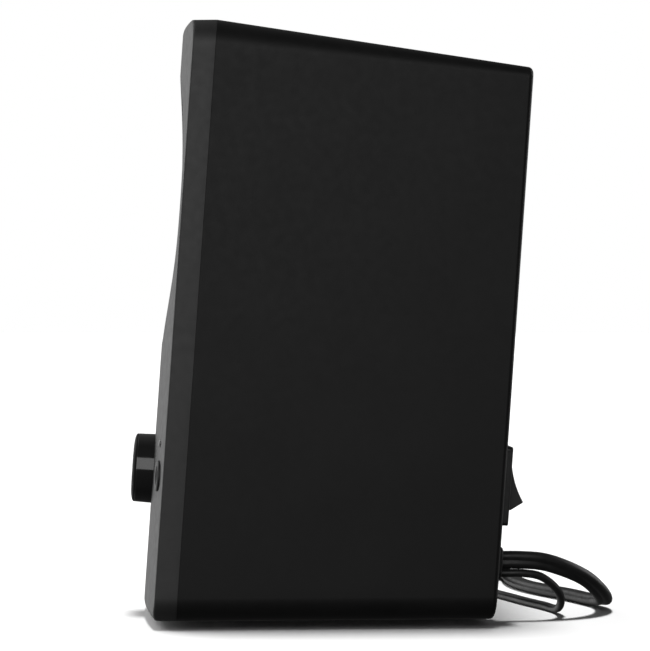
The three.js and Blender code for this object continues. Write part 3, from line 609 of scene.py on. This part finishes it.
def shell_section(depth, inset):
    """The rear shell's outline at a depth; it tapers towards the back."""
    share = (depth - SEAM_DEPTH) / (CASE_DEPTH - SEAM_DEPTH)
    height = FRONT_HEIGHT + share * (REAR_HEIGHT - FRONT_HEIGHT)
    corner = TOP_CORNER_FRONT + share * (TOP_CORNER_REAR - TOP_CORNER_FRONT)
    half_width = HALF_WIDTH - REAR_DRAFT * share
    outline = corner_outline(half_width, height, corner, BOTTOM_CORNER, inset, 4.0, 10)
    return [(point.x, depth, point.y) for point in outline]


def rear_shell():
    lip, rim = 0.04, 1.3
    start = SEAM_DEPTH + 0.03
    rings = [shell_section(start, 0.9), shell_section(start, lip)]
    for k in range(1, 4):
        angle = k / 4 * math.pi / 2
        rings.append(shell_section(start + lip * (1 - math.cos(angle)), lip * (1 - math.sin(angle))))
    for k in range(0, 9):
        rings.append(shell_section(start + lip + k / 8 * (CASE_DEPTH - rim - start - lip), 0))
    for k in range(1, 7):
        angle = k / 6 * math.pi / 2
        rings.append(shell_section(CASE_DEPTH - rim * (1 - math.sin(angle)), rim * (1 - math.cos(angle))))
    piece = rings_mesh("rear_shell_skin", rings, CASE)
    hollow = [shell_section(start - 4, WALL), shell_section(CASE_DEPTH - WALL, WALL)]
    tools = [
        rings_mesh("tool", hollow, CASE),
        tool_box((13, 8, 19.2), shifted(REAR, SWITCH_X, 0, SWITCH_HEIGHT)),
        tool_box((8.6, 8, 7.1), BUSH),
        tool_rod(3.4, -5, 5, shifted(REAR, OUTPUT_X, 0, OUTPUT_HEIGHT)),
    ]
    for x, z in POSTS.values():
        well = shifted(REAR, x, 0, z / math.cos(LEAN))
        tools.append(tool_rod(3.2, -SCREW_WELL, 5, well))
        tools.append(tool_rod(1.7, -8, 5, well, 24))
    return cut(piece, tools)


# ---------------------------------------------------------------- the driver


def arc(centre_radius, centre_back, reach, start, end, steps):
    """Points of an arc about (radius, back), its angles in degrees, 0 outward and 90 to the back."""
    points = []
    for k in range(steps + 1):
        angle = math.radians(start + (end - start) * k / steps)
        points.append((centre_radius + reach * math.cos(angle), centre_back + reach * math.sin(angle)))
    return points


def trim_ring():
    outline = [
        (OPENING_RADIUS - 0.4, SEAT_DEPTH - GAP, 0.1),
        (OPENING_RADIUS - 1.0, 0.25, 0.3),
        (OPENING_RADIUS - 0.4, -0.1, 0.3),
        (OPENING_RADIUS + 1.6, -0.35, 0.3),
        (RING_RADIUS - 1.4, -0.35, 0.5),
        (RING_RADIUS - 0.1, 0.0, 0.4),
        (RING_RADIUS, SEAT_DEPTH - GAP, 0.1),
    ]
    return turned("trim_ring", rounded(outline, 0.3, 5), DRIVER, 160)


def surround():
    inner, outer, thickness = CONE_RADIUS + 0.05, 29.1, 0.5
    start = FLANGE_BACK - 0.1
    roll_inner, roll_outer = inner + 0.7, outer - 1.2
    middle, radius = (roll_inner + roll_outer) / 2, (roll_outer - roll_inner) / 2
    front_side = [(inner, start + 1.5), (roll_inner - 0.1, start + 1.1)]
    front_side += arc(middle, start, radius, 195, 360, 22)
    front_side += [(outer, start + 0.05)]
    back_side = [(radius_, back + thickness) for radius_, back in reversed(front_side)]
    return turned("surround_roll", rounded(front_side + back_side, 0.12, 3), DRIVER, 144)


def cone():
    points = []
    steps = 30
    for k in range(steps + 1):
        share = k / steps
        radius = CONE_RADIUS + share * (10.4 - CONE_RADIUS)
        back = FLANGE_BACK + 1.15 + 10.1 * share**1.25
        rib = 0.16 * math.sin(share * 5 * 2 * math.pi) if 0.15 < share < 0.9 else 0
        points.append((radius, back + rib))
    back_side = [(radius, back + 0.6) for radius, back in reversed(points)]
    return turned("cone_body", points + back_side, DRIVER, 144)


def dust_cap():
    rim, rise = 10.6, 4.6
    base = FLANGE_BACK + 9.9
    front_side = []
    for k in range(15):
        angle = k / 14 * math.radians(86)
        front_side.append((rim * math.sin(angle) if k else 0.0, base - rise * math.cos(angle)))
    front_side.append((rim + 0.5, base + 0.25))
    back_side = [(radius, back + 0.5) for radius, back in reversed(front_side)]
    return turned("dust_cap_dome", front_side + back_side, DRIVER, 120)


# ---------------------------------------------------------------- the controls on the front

KNOB_RADIUS = 9.6
KNOB_HEIGHT = 6.45
KNOB_POCKET = 1.2
KNOB_BACK = -BULGE + KNOB_POCKET - 0.5
KNOB_FRONT = KNOB_BACK - KNOB_HEIGHT
POINTER_RADIUS = 6.6
POINTER_REST = math.radians(220)  # towards seven o'clock, where the knob rests at its low end


def knob_front_outline(back=0.0):
    """The domed front of the knob, from its middle to its rim."""
    edge_width, edge_depth, steps = 5.0, 1.1, 14
    outline = [(0, KNOB_FRONT + back, 0)]
    for k in range(steps + 1):
        t = k / steps
        radius = KNOB_RADIUS - 0.15 - (1 - t) ** 2 * edge_width
        outline.append((radius, KNOB_FRONT + back + t**2 * edge_depth, 0))
    return outline


def knob():
    """The glossy side and back of the knob; its front stands just behind the matte front piece."""
    outline = knob_front_outline(0.25) + [
        (KNOB_RADIUS, KNOB_BACK, 0.35),
        (KNOB_RADIUS - 1.4, KNOB_BACK, 0.2),
        (KNOB_RADIUS - 1.4, KNOB_BACK - 3, 0.3),
        (4.4, KNOB_BACK - 3, 0.2),
        (4.4, KNOB_BACK - 2.6, 0.1),
        (3.1, KNOB_BACK - 2.6, 0.1),
        (3.1, KNOB_BACK - 4.8, 0.2),
        (0, KNOB_BACK - 4.8, 0),
    ]
    return turned("knob_cap", rounded(outline, 0.3, 7, closed=False), CONTROLS, 160)


def knob_front():
    """The matte front of the knob, with its pointer groove."""
    face = knob_front_outline()
    inside = [(max(0.0, radius - 0.3), depth + 0.6, 0) for radius, depth, _ in reversed(face)]
    piece = turned("knob_front_cap", rounded(face + inside, 0.3, 7, closed=False), CONTROLS, 160)
    turn = Matrix.Rotation(-POINTER_REST, 4, "Y")
    mark = shifted(CONTROLS @ turn, 0, KNOB_FRONT + 0.2, POINTER_RADIUS)
    groove = rounded([(-0.45, -1.6), (0.45, -1.6), (0.45, 1.6), (-0.45, 1.6)], 0.4)
    return cut(piece, [extruded("tool", groove, -0.6, 0.3, mark)])


def socket_space():
    slope = 2 * BULGE * SOCKET_X / (HALF_WIDTH - EDGE_DRAFT) ** 2
    turn = Matrix.Rotation(math.atan(slope), 4, "Z")
    return shifted(CONTROLS, SOCKET_X, -forward(SOCKET_X, CONTROLS_HEIGHT)) @ turn


def socket_collar():
    outline = [
        (1.85, 5.5, 0.1),
        (1.85, -0.35, 0.3),
        (2.5, -0.35, 0.1),
        (2.7, -0.6, 0.15),
        (3.7, -0.72, 0.3),
        (4.1, -0.45, 0.25),
        (4.1, 0.25, 0.05),
        (2.85, 0.25, 0.05),
        (2.85, 5.5, 0.1),
    ]
    return turned("socket_surround", rounded(outline, 0.15, 4), socket_space(), 96)


def lamp():
    space = shifted(socket_space(), LAMP_X - SOCKET_X, -0.2, LAMP_RISE)
    outline = [(0, -0.28, 0), (0.75, -0.2, 0.4), (1.05, 0.15, 0.3), (1.05, 4.5, 0.1), (0, 4.5, 0)]
    return turned("lamp_dome", rounded(outline, 0.2, 5, closed=False), space, 48)


# ---------------------------------------------------------------- the rear

FLANGE_WIDTH = 15
FLANGE_TALL = 21
FLANGE_THICKNESS = 1.65
WINDOW_WIDTH = 10.6
WINDOW_TALL = 17.2
HOUSING_DEPTH = 13.7
FLANGE_FACE = GAP + FLANGE_THICKNESS
PIVOT_DEPTH = 4.0
ROCKER_TILT = math.radians(18)
ROCKER_HALF_WIDTH = 5.0
TIP_UP = 6.4
TIP_OUT = 6.3
ROOT_UP = 7.6
ROOT_OUT = 2.3
DISH = 0.85
SWITCH = shifted(REAR, SWITCH_X, 0, SWITCH_HEIGHT)


def plate_outline(width, height, radius, steps=6):
    x, z = width / 2, height / 2
    return rounded([(-x, -z), (x, -z), (x, z), (-x, z)], radius, steps)


def switch_housing():
    plate = plate_outline(FLANGE_WIDTH, FLANGE_TALL, 1.0)
    flange = extruded("switch_flange", plate, GAP - 0.25, FLANGE_FACE, SWITCH)
    flange = cut(flange, [tool_box((WINDOW_WIDTH, 12, WINDOW_TALL), SWITCH)])
    soften(flange, 0.3, 3)
    groove = shifted(SWITCH, 0, 0, 9.3)
    flange = cut(flange, [tool_box((2, 6, 0.3), shifted(groove, side * 8.3)) for side in (-1, 1)])
    body = extruded("switch_body", plate_outline(12.2, 18.4, 0.5), -HOUSING_DEPTH, GAP, SWITCH)
    body = cut(body, [tool_box((WINDOW_WIDTH, 26.2, WINDOW_TALL), shifted(SWITCH, 0, 1))])
    return joined([flange, body], "switch_frame")


def rocker_face(up):
    """How far out the rocker's dished face stands at a height above its middle."""
    return TIP_OUT - DISH * (1 - (up / TIP_UP) ** 2)


def rocker_outline():
    points = [(ROOT_UP, ROOT_OUT)]
    steps = 22
    for k in range(steps + 1):
        up = TIP_UP - 2 * TIP_UP * k / steps
        points.append((up, rocker_face(up)))
    return points + [(-ROOT_UP, ROOT_OUT), (-3.2, -2), (3.2, -2)]


def rocker_space():
    return shifted(SWITCH, 0, FLANGE_FACE - PIVOT_DEPTH) @ Matrix.Rotation(ROCKER_TILT, 4, "X")


def rocker():
    ends = (-ROCKER_HALF_WIDTH, ROCKER_HALF_WIDTH)
    rings = [[(x, out, up) for up, out in rocker_outline()] for x in ends]
    piece = rings_mesh("rocker_key", rings, rocker_space())
    soften(piece, 0.3, 3)
    return piece


def rocker_mark(name, outlines, up):
    """A painted mark on the rocker's dished face, a little proud of it."""
    space = rocker_space()
    shapes = []
    for outline in outlines:
        rings = []
        for lift in (-0.25, 0.03):
            rings.append([(x, rocker_face(up + z) + lift, up + z) for x, z in outline])
        shapes.append(rings_mesh(name, rings, space))
    return joined(shapes, name)


def on_mark():
    return rocker_mark("rocker_mark_on", [plate_outline(0.5, 2.4, 0.2, 3)], 3.4)


def off_mark():
    outer, inner, steps = 1.25, 0.8, 40
    pieces = []
    for k in range(steps):
        a, b = (2 * math.pi * (k + d) / steps for d in (0, 1))
        pieces.append([
            (inner * math.cos(a), inner * math.sin(a)),
            (outer * math.cos(a), outer * math.sin(a)),
            (outer * math.cos(b), outer * math.sin(b)),
            (inner * math.cos(b), inner * math.sin(b)),
        ])
    return rocker_mark("rocker_mark_off", pieces, -3.4)


def cord_bush():
    flange = extruded("bush_flange", plate_outline(10, 8.5, 2.2), GAP - 0.25, BUSH_PROUD, BUSH, 0.45, 4)
    neck = extruded("bush_neck", plate_outline(8, 6.5, 1.5), -WALL - GAP, GAP, BUSH, 0.1, 2)
    clamp = extruded("bush_clamp", plate_outline(10.4, 8.6, 1.5), -WALL - 6, -WALL - GAP, BUSH, 0.4, 3)
    return joined([flange, neck, clamp], "bush_grip")


def output_socket():
    outline = [
        (1.85, 0.55, 0.2),
        (2.6, 0.9, 0.2),
        (4.2, 0.9, 0.3),
        (4.2, 0.05, 0.05),
        (3.1, 0.05, 0.05),
        (3.1, -10, 0.2),
        (0, -10, 0),
        (0, -9, 0),
        (1.85, -9, 0.1),
    ]
    profile = rounded(outline, 0.2, 4)
    return turned("output_socket_surround", profile, shifted(REAR, OUTPUT_X, 0, OUTPUT_HEIGHT), 80)


def case_screw(where, x, z):
    space = shifted(REAR, x, -SCREW_WELL + 0.1, z / math.cos(LEAN))
    outline = [
        (0, -8, 0),
        (1.3, -8, 0.3),
        (1.3, 0, 0.1),
        (2.8, 0, 0.15),
        (2.75, 0.7, 0.5),
        (1.5, 1.45, 1.5),
        (0, 1.5, 0),
    ]
    piece = turned(f"case_screw_{where}_head", rounded(outline, 0.2, 5, closed=False), space, 56)
    slots = [tool_box(size, shifted(space, 0, 1.5)) for size in ((3.2, 1.8, 0.6), (0.6, 1.8, 3.2))]
    return cut(piece, slots)


def foot(name, centre):
    space = Matrix.Translation(centre) @ Matrix.Rotation(math.pi / 2, 4, "X")
    outline = [
        (0, -FOOT_HEIGHT, 0),
        (FOOT_RADIUS - 2.6, -FOOT_HEIGHT, 0.2),
        (FOOT_RADIUS - 2.3, -FOOT_HEIGHT + 0.25, 0.1),
        (FOOT_RADIUS - 1.9, -FOOT_HEIGHT, 0.1),
        (FOOT_RADIUS - 0.9, -FOOT_HEIGHT, 0.6),
        (FOOT_RADIUS, -FOOT_HEIGHT + 0.9, 0.6),
        (FOOT_RADIUS, 0.1, 0.05),
        (0, 0.1, 0),
    ]
    flipped = [(radius, -back, *rest) for radius, back, *rest in outline]
    return turned(name, rounded(flipped, 0.2, 5, closed=False), space, 72)


# ---------------------------------------------------------------- the leads

MAINS_WIDTH = 4.9
MAINS_THICKNESS = 3.0
AUDIO_DIAMETER = 2.2
# A coil's centre and middle radius, its turns in each layer, and how far apart its turns and layers lie
MAINS_COIL = {
    "x": -91.0,
    "y": 22.0,
    "middle": 28.3,
    "turns": 3.5,
    "layers": 2,
    "pitch": 4.98,
    "rise": 3.08,
    "sense": 1,
}
AUDIO_COIL = {
    "x": -66.5,
    "y": -29.0,
    "middle": 13.2,
    "turns": 4,
    "layers": 3,
    "pitch": 2.26,
    "rise": 2.24,
    "sense": -1,
}
BUSH_FACE = (BUSH @ (Vector((0, BUSH_PROUD, 0)) * MM)) / MM

# From the bush to the coil, in millimetres: the CAD source's routes, a little lower at the bush
MAINS_ROUTE = [
    (BUSH_FACE.x, BUSH_FACE.y + GAP, BUSH_FACE.z + 0.6),
    (BUSH_FACE.x, BUSH_FACE.y + 5, BUSH_FACE.z + 0.6),
    (BUSH_FACE.x - 0.7, BUSH_FACE.y + 11.4, BUSH_FACE.z + 0.05),
    (BUSH_FACE.x - 3, BUSH_FACE.y + 18, BUSH_FACE.z - 2.1),
    (BUSH_FACE.x - 7.2, BUSH_FACE.y + 24.2, BUSH_FACE.z - 5.2),
    (BUSH_FACE.x - 13.4, BUSH_FACE.y + 29, BUSH_FACE.z - 9.2),
    (BUSH_FACE.x - 21.4, BUSH_FACE.y + 31.6, BUSH_FACE.z - 12.4),
    (BUSH_FACE.x - 30, BUSH_FACE.y + 31.8, 2.3),
    (-11, BUSH_FACE.y + 30, 1.9),
    (-22.5, BUSH_FACE.y + 26.4, 1.9),
    (-34, BUSH_FACE.y + 21.6, 1.9),
    (-46, BUSH_FACE.y + 17.4, 1.9),
    (-57, BUSH_FACE.y + 15.4, 1.9),
    (-68, BUSH_FACE.y + 15, 1.9),
    (-79, BUSH_FACE.y + 15.5, 1.9),
]
AUDIO_ROUTE = [
    (BUSH_FACE.x, BUSH_FACE.y + GAP, BUSH_FACE.z - 3.0),
    (BUSH_FACE.x, BUSH_FACE.y + 6, BUSH_FACE.z - 3.0),
    (BUSH_FACE.x - 0.8, BUSH_FACE.y + 10.8, BUSH_FACE.z - 3.9),
    (BUSH_FACE.x - 3.2, BUSH_FACE.y + 15, BUSH_FACE.z - 6.9),
    (BUSH_FACE.x - 8, BUSH_FACE.y + 17.6, BUSH_FACE.z - 10.6),
    (BUSH_FACE.x - 15, BUSH_FACE.y + 17.8, 1.7),
    (BUSH_FACE.x - 26, BUSH_FACE.y + 15.4, 1.3),
    (-12, BUSH_FACE.y + 11.6, 1.3),
    (-24, BUSH_FACE.y + 8.4, 1.3),
    (-36, BUSH_FACE.y + 4.2, 1.3),
    (-44.4, BUSH_FACE.y - 3, 1.3),
    (-48, BUSH_FACE.y - 13, 1.3),
    (-48.9, BUSH_FACE.y - 25, 1.3),
    (-49, BUSH_FACE.y - 40, 1.3),
    (-49.2, BUSH_FACE.y - 53, 1.3),
    (-49.3, BUSH_FACE.y - 62, 1.3),
]


def smooth_step(value):
    value = min(1.0, max(0.0, value))
    return value * value * (3 - 2 * value)


def coil_turns(coil, start_degrees, floor, per_turn=36, climbing=0.3):
    """A lead's turns: it winds inwards and outwards by turns, and climbs one layer at the end of each."""
    turns, layers, pitch = coil["turns"], coil["layers"], coil["pitch"]
    points = []
    for k in range(round(turns * layers * per_turn)):
        layer, place = divmod(k / per_turn, turns)
        across = place if layer % 2 == 0 else turns - place
        radius = coil["middle"] + pitch * (turns / 2 - across)
        climb = smooth_step((place - turns + climbing) / climbing) if layer < layers - 1 else 0
        angle = math.radians(start_degrees) + coil["sense"] * 2 * math.pi * (k / per_turn)
        points.append((
            coil["x"] + radius * math.cos(angle),
            coil["y"] + radius * math.sin(angle),
            floor + coil["rise"] * (layer + climb),
        ))
    return points


def smooth_line(points, step):
    """A centripetal Catmull-Rom line through the points, in even steps."""
    points = [Vector(point) for point in points]
    ends = [2 * points[0] - points[1], *points, 2 * points[-1] - points[-2]]
    dense = []
    for a, b, c, d in zip(ends, ends[1:], ends[2:], ends[3:]):
        t1 = (b - a).length ** 0.5
        t2 = t1 + (c - b).length ** 0.5
        t3 = t2 + (d - c).length ** 0.5
        for k in range(12):
            t = t1 + (t2 - t1) * k / 12
            ab = a.lerp(b, t / t1)
            bc = b.lerp(c, (t - t1) / (t2 - t1))
            cd = c.lerp(d, (t - t2) / (t3 - t2))
            low = ab.lerp(bc, t / t2)
            high = bc.lerp(cd, (t - t1) / (t3 - t1))
            dense.append(low.lerp(high, (t - t1) / (t2 - t1)))
    dense.append(points[-1])
    return even_steps(dense, step)


def even_steps(points, step):
    lengths = [0.0]
    for a, b in zip(points, points[1:]):
        lengths.append(lengths[-1] + (b - a).length)
    count = round(lengths[-1] / step)
    line, i = [], 0
    for k in range(count + 1):
        want = lengths[-1] * k / count
        while i < len(points) - 2 and lengths[i + 1] < want:
            i += 1
        span = lengths[i + 1] - lengths[i]
        line.append(points[i].lerp(points[i + 1], (want - lengths[i]) / span if span else 0))
    return line


def lead_tube(name, line, section, twist_over=0.0):
    """Sweeps a section of (across, up) points along a line. A twisted one leaves on edge and lies level once
    it has run for twist_over."""
    rings = []
    run = 0.0
    for i, point in enumerate(line):
        run += (point - line[i - 1]).length if i else 0
        twist = math.pi / 2 * (1 - smooth_step(run / twist_over)) if twist_over else 0
        ahead = (line[min(i + 1, len(line) - 1)] - line[max(i - 1, 0)]).normalized()
        across = ahead.cross(Vector((0, 0, 1))).normalized()
        up = across.cross(ahead)
        turn = Matrix.Rotation(twist, 2)
        turned_section = [turn @ Vector(corner) for corner in section]
        rings.append([point + across * u + up * v for u, v in turned_section])
    return rings_mesh(name, rings, UPRIGHT, smooth_angle=60)


def twin_section():
    """Two round cores side by side, with a shallow groove between them."""
    radius = MAINS_THICKNESS / 2
    offset = MAINS_WIDTH / 2 - radius
    points = []
    for side, start in ((1, -125), (-1, 55)):
        for k in range(13):
            angle = math.radians(start + 250 * k / 12)
            points.append((side * offset + radius * math.cos(angle), radius * math.sin(angle)))
    return points


def round_section(diameter, count):
    radius = diameter / 2
    return [
        (radius * math.cos(2 * math.pi * k / count), radius * math.sin(2 * math.pi * k / count))
        for k in range(count)
    ]


def mains_lead():
    turns = coil_turns(MAINS_COIL, 108, MAINS_THICKNESS / 2 + 0.2)
    top = turns[-1][2]
    x, y = MAINS_COIL["x"], MAINS_COIL["y"]
    joining = [(-88, BUSH_FACE.y + 14.6, 1.8), (-95.6, BUSH_FACE.y + 12.6, 1.7)]
    tail = [
        (x - 3, y + 38.2, top + 0.8),
        (x - 10, y + 38.4, top + 2.6),
        (x - 17, y + 36, top + 5),
        (x - 21.7, y + 32.4, top + 7.2),
        (x - 25.4, y + 27.2, 13.3),
        (x - 26.9, y + 21.2, 14),
        (x - 27, y + 16, 14),
    ]
    line = smooth_line([*MAINS_ROUTE, *joining, *turns[1:-4:3], *tail], 1.6)
    return line, lead_tube("mains_lead_flex", line, twin_section(), 45)


def audio_lead():
    turns = coil_turns(AUDIO_COIL, -14, AUDIO_DIAMETER / 2 + 0.2)
    top = turns[-1][2]
    x, y = AUDIO_COIL["x"], AUDIO_COIL["y"]
    tail = [
        (x - 6.8, y + 6.8, top + 1),
        (x, y + 9.6, top + 2.3),
        (x + 7, y + 9.2, 8.7),
        (x + 13, y + 7.2, 9.3),
        (x + 17.5, y + 3, 9.8),
        (x + 19.7, y - 2.5, 10.4),
        (x + 20.3, y - 7.5, 10.9),
        (x + 19.2, y - 11.2, 11.1),
        (x + 16.7, y - 13, 11.1),
        (x + 13.5, y - 13.2, 11.1),
    ]
    line = smooth_line([*AUDIO_ROUTE, *turns[:-19:2], *tail], 0.9)
    return line, lead_tube("audio_lead_flex", line, round_section(AUDIO_DIAMETER, 12))


# ---------------------------------------------------------------- stage and light

# How brightly the world shines on the speaker from each side
BACKDROP = 1.0
ROOM = 0.2
FRONT_GLOW = 1.95
REAR_GLOW = 0.15
CEILING_GLOW = 1.2
FLOOR_GLOW = 0.4
SPEAKER_MIDDLE = (0, 0, 0.08)


def make_stage():
    corners = [(-9000, -9000, 0), (9000, -9000, 0), (9000, 9000, 0), (-9000, 9000, 0)]
    floor = mesh_object("floor", corners, [(0, 1, 2, 3)])
    look = Look("floor_paint")
    look.tint(look.noise(0.0005, 2), grey(0.9), grey(0.92))
    look.set(specular_ior_level=0.0, roughness=1.0)
    wear(floor, look.material)
    floor.visible_glossy = False
    floor.visible_diffuse = False
    return floor


def make_world():
    """White to the camera. On the speaker it shines from the far side, and little from the room's side."""
    world = bpy.data.worlds.new("world")
    bpy.context.scene.world = world
    world.use_nodes = True
    nodes, links = world.node_tree.nodes, world.node_tree.links
    nodes["Background"].inputs["Color"].default_value = (1, 1, 1, 1)
    direction = nodes.new("ShaderNodeTexCoord").outputs["Generated"]
    split = nodes.new("ShaderNodeSeparateXYZ")
    links.new(direction, split.inputs["Vector"])

    def graded(axis, start, end, low, high):
        node = nodes.new("ShaderNodeMapRange")
        for name, value in zip(("From Min", "From Max", "To Min", "To Max"), (start, end, low, high)):
            node.inputs[name].default_value = value
        links.new(split.outputs[axis], node.inputs["Value"])
        return node.outputs["Result"]

    def product(one, other):
        node = nodes.new("ShaderNodeMath")
        node.operation = "MULTIPLY"
        links.new(one, node.inputs[0])
        links.new(other, node.inputs[1])
        return node.outputs["Value"]

    away = graded("X", -0.35, 0.15, BACKDROP, ROOM)
    ahead = graded("Y", -0.5, -0.14, FRONT_GLOW, REAR_GLOW)
    above = graded("Z", 0.25, 0.75, 1.0, CEILING_GLOW)
    below = graded("Z", -0.6, 0.0, FLOOR_GLOW, 1.0)
    shining = product(product(away, ahead), product(above, below))
    choice = nodes.new("ShaderNodeMix")
    links.new(nodes.new("ShaderNodeLightPath").outputs["Is Camera Ray"], choice.inputs["Factor"])
    links.new(shining, choice.inputs["A"])
    choice.inputs["B"].default_value = 1.0
    links.new(choice.outputs["Result"], nodes["Background"].inputs["Strength"])


def add_light(name, kind, place, aim, power):
    data = bpy.data.lights.new(name, kind)
    data.energy = power
    light = bpy.data.objects.new(name, data)
    bpy.context.scene.collection.objects.link(light)
    light.location = place
    light.rotation_euler = (Vector(aim) - Vector(place)).to_track_quat("-Z", "Y").to_euler()
    return light


def link_light(light, floor, state):
    """Lights only the floor, or everything but the floor; all of the speaker still shades it."""
    chosen = bpy.data.collections.new(f"{light.name}_and_floor")
    chosen.objects.link(floor)
    light.light_linking.receiver_collection = chosen
    chosen.collection_objects[0].light_linking.link_state = state


def make_lights(floor):
    above = add_light("floor_light", "SUN", (-0.07, 0.02, 1.0), (0, 0, 0), 3.1)
    above.data.angle = math.radians(13)
    link_light(above, floor, "INCLUDE")
    panels = (
        ("softbox", (1.85, -0.7, 0.7), 39, 2.5, 1.5),
        ("back_light", (-0.6, 1.7, 0.5), 16, 1.4, 1.2),
    )
    for name, place, power, width, height in panels:
        panel = add_light(name, "AREA", place, SPEAKER_MIDDLE, power)
        panel.data.shape = "RECTANGLE"
        panel.data.size, panel.data.size_y = width, height
        link_light(panel, floor, "EXCLUDE")


# ---------------------------------------------------------------- making it all

make_camera()
mains_line, mains_flex = mains_lead()
audio_line, audio_flex = audio_lead()
make_world()
make_lights(make_stage())
bpy.context.scene.view_settings.view_transform = "Standard"
dress_frame()

settle(mains_flex, "case", "black_rubber", "mains_lead", "mains_lead_coil", look=LEAD_LOOK)
settle(audio_flex, "case", "black_rubber", "audio_lead", "audio_lead_coil", look=LEAD_LOOK)

settle(front_baffle(), "case", "front_plastic", "front_baffle")
settle(rear_shell(), "case", "case_plastic", "rear_shell")
settle(trim_ring(), "case", "gloss_black", "driver_trim_ring")
roll = surround()
wear(roll, LOOKS["black_rubber"])
# Both points lie away from the roll, so all of it stays with the case: it does not follow the cone
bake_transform(roll)
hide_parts("driver_surround")
settle(cone(), "cone", "cone_paper", "driver_cone")
settle(dust_cap(), "cone", "cone_paper", "driver_dust_cap")
settle(knob(), "knob", "gloss_black", "volume_knob", look=KNOB_LOOK)
settle(knob_front(), "knob", "gloss_black", look=KNOB_FRONT_LOOK)
settle(socket_collar(), "case", "front_plastic", "headphone_socket_collar")
settle(lamp(), "case", "lamp_lens", "indicator_lamp")
settle(switch_housing(), "case", "case_plastic", "power_switch_housing", look=SWITCH_LOOK)
settle(rocker(), "rocker", "case_plastic", "power_switch_rocker", look=SWITCH_LOOK)
settle(on_mark(), "rocker", "case_plastic", look=MARK_LOOK)
settle(off_mark(), "rocker", "case_plastic", look=MARK_LOOK)
settle(cord_bush(), "case", "black_rubber", "cord_bush")
settle(output_socket(), "case", "case_plastic", "output_socket")
for where, (x, z) in POSTS.items():
    settle(case_screw(where, x, z), "case", "plated_steel", f"case_screw_{where}")
for end in ("front", "rear"):
    for side in ("left", "right"):
        node = f"foot_{end}_{side}"
        low, high = (Vector(corner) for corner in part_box(node))
        centre = Vector(((low.x + high.x) / 2, (low.y + high.y) / 2, FOOT_HEIGHT * MM))
        settle(foot(f"{node}_pad", centre), "case", "black_rubber", node)
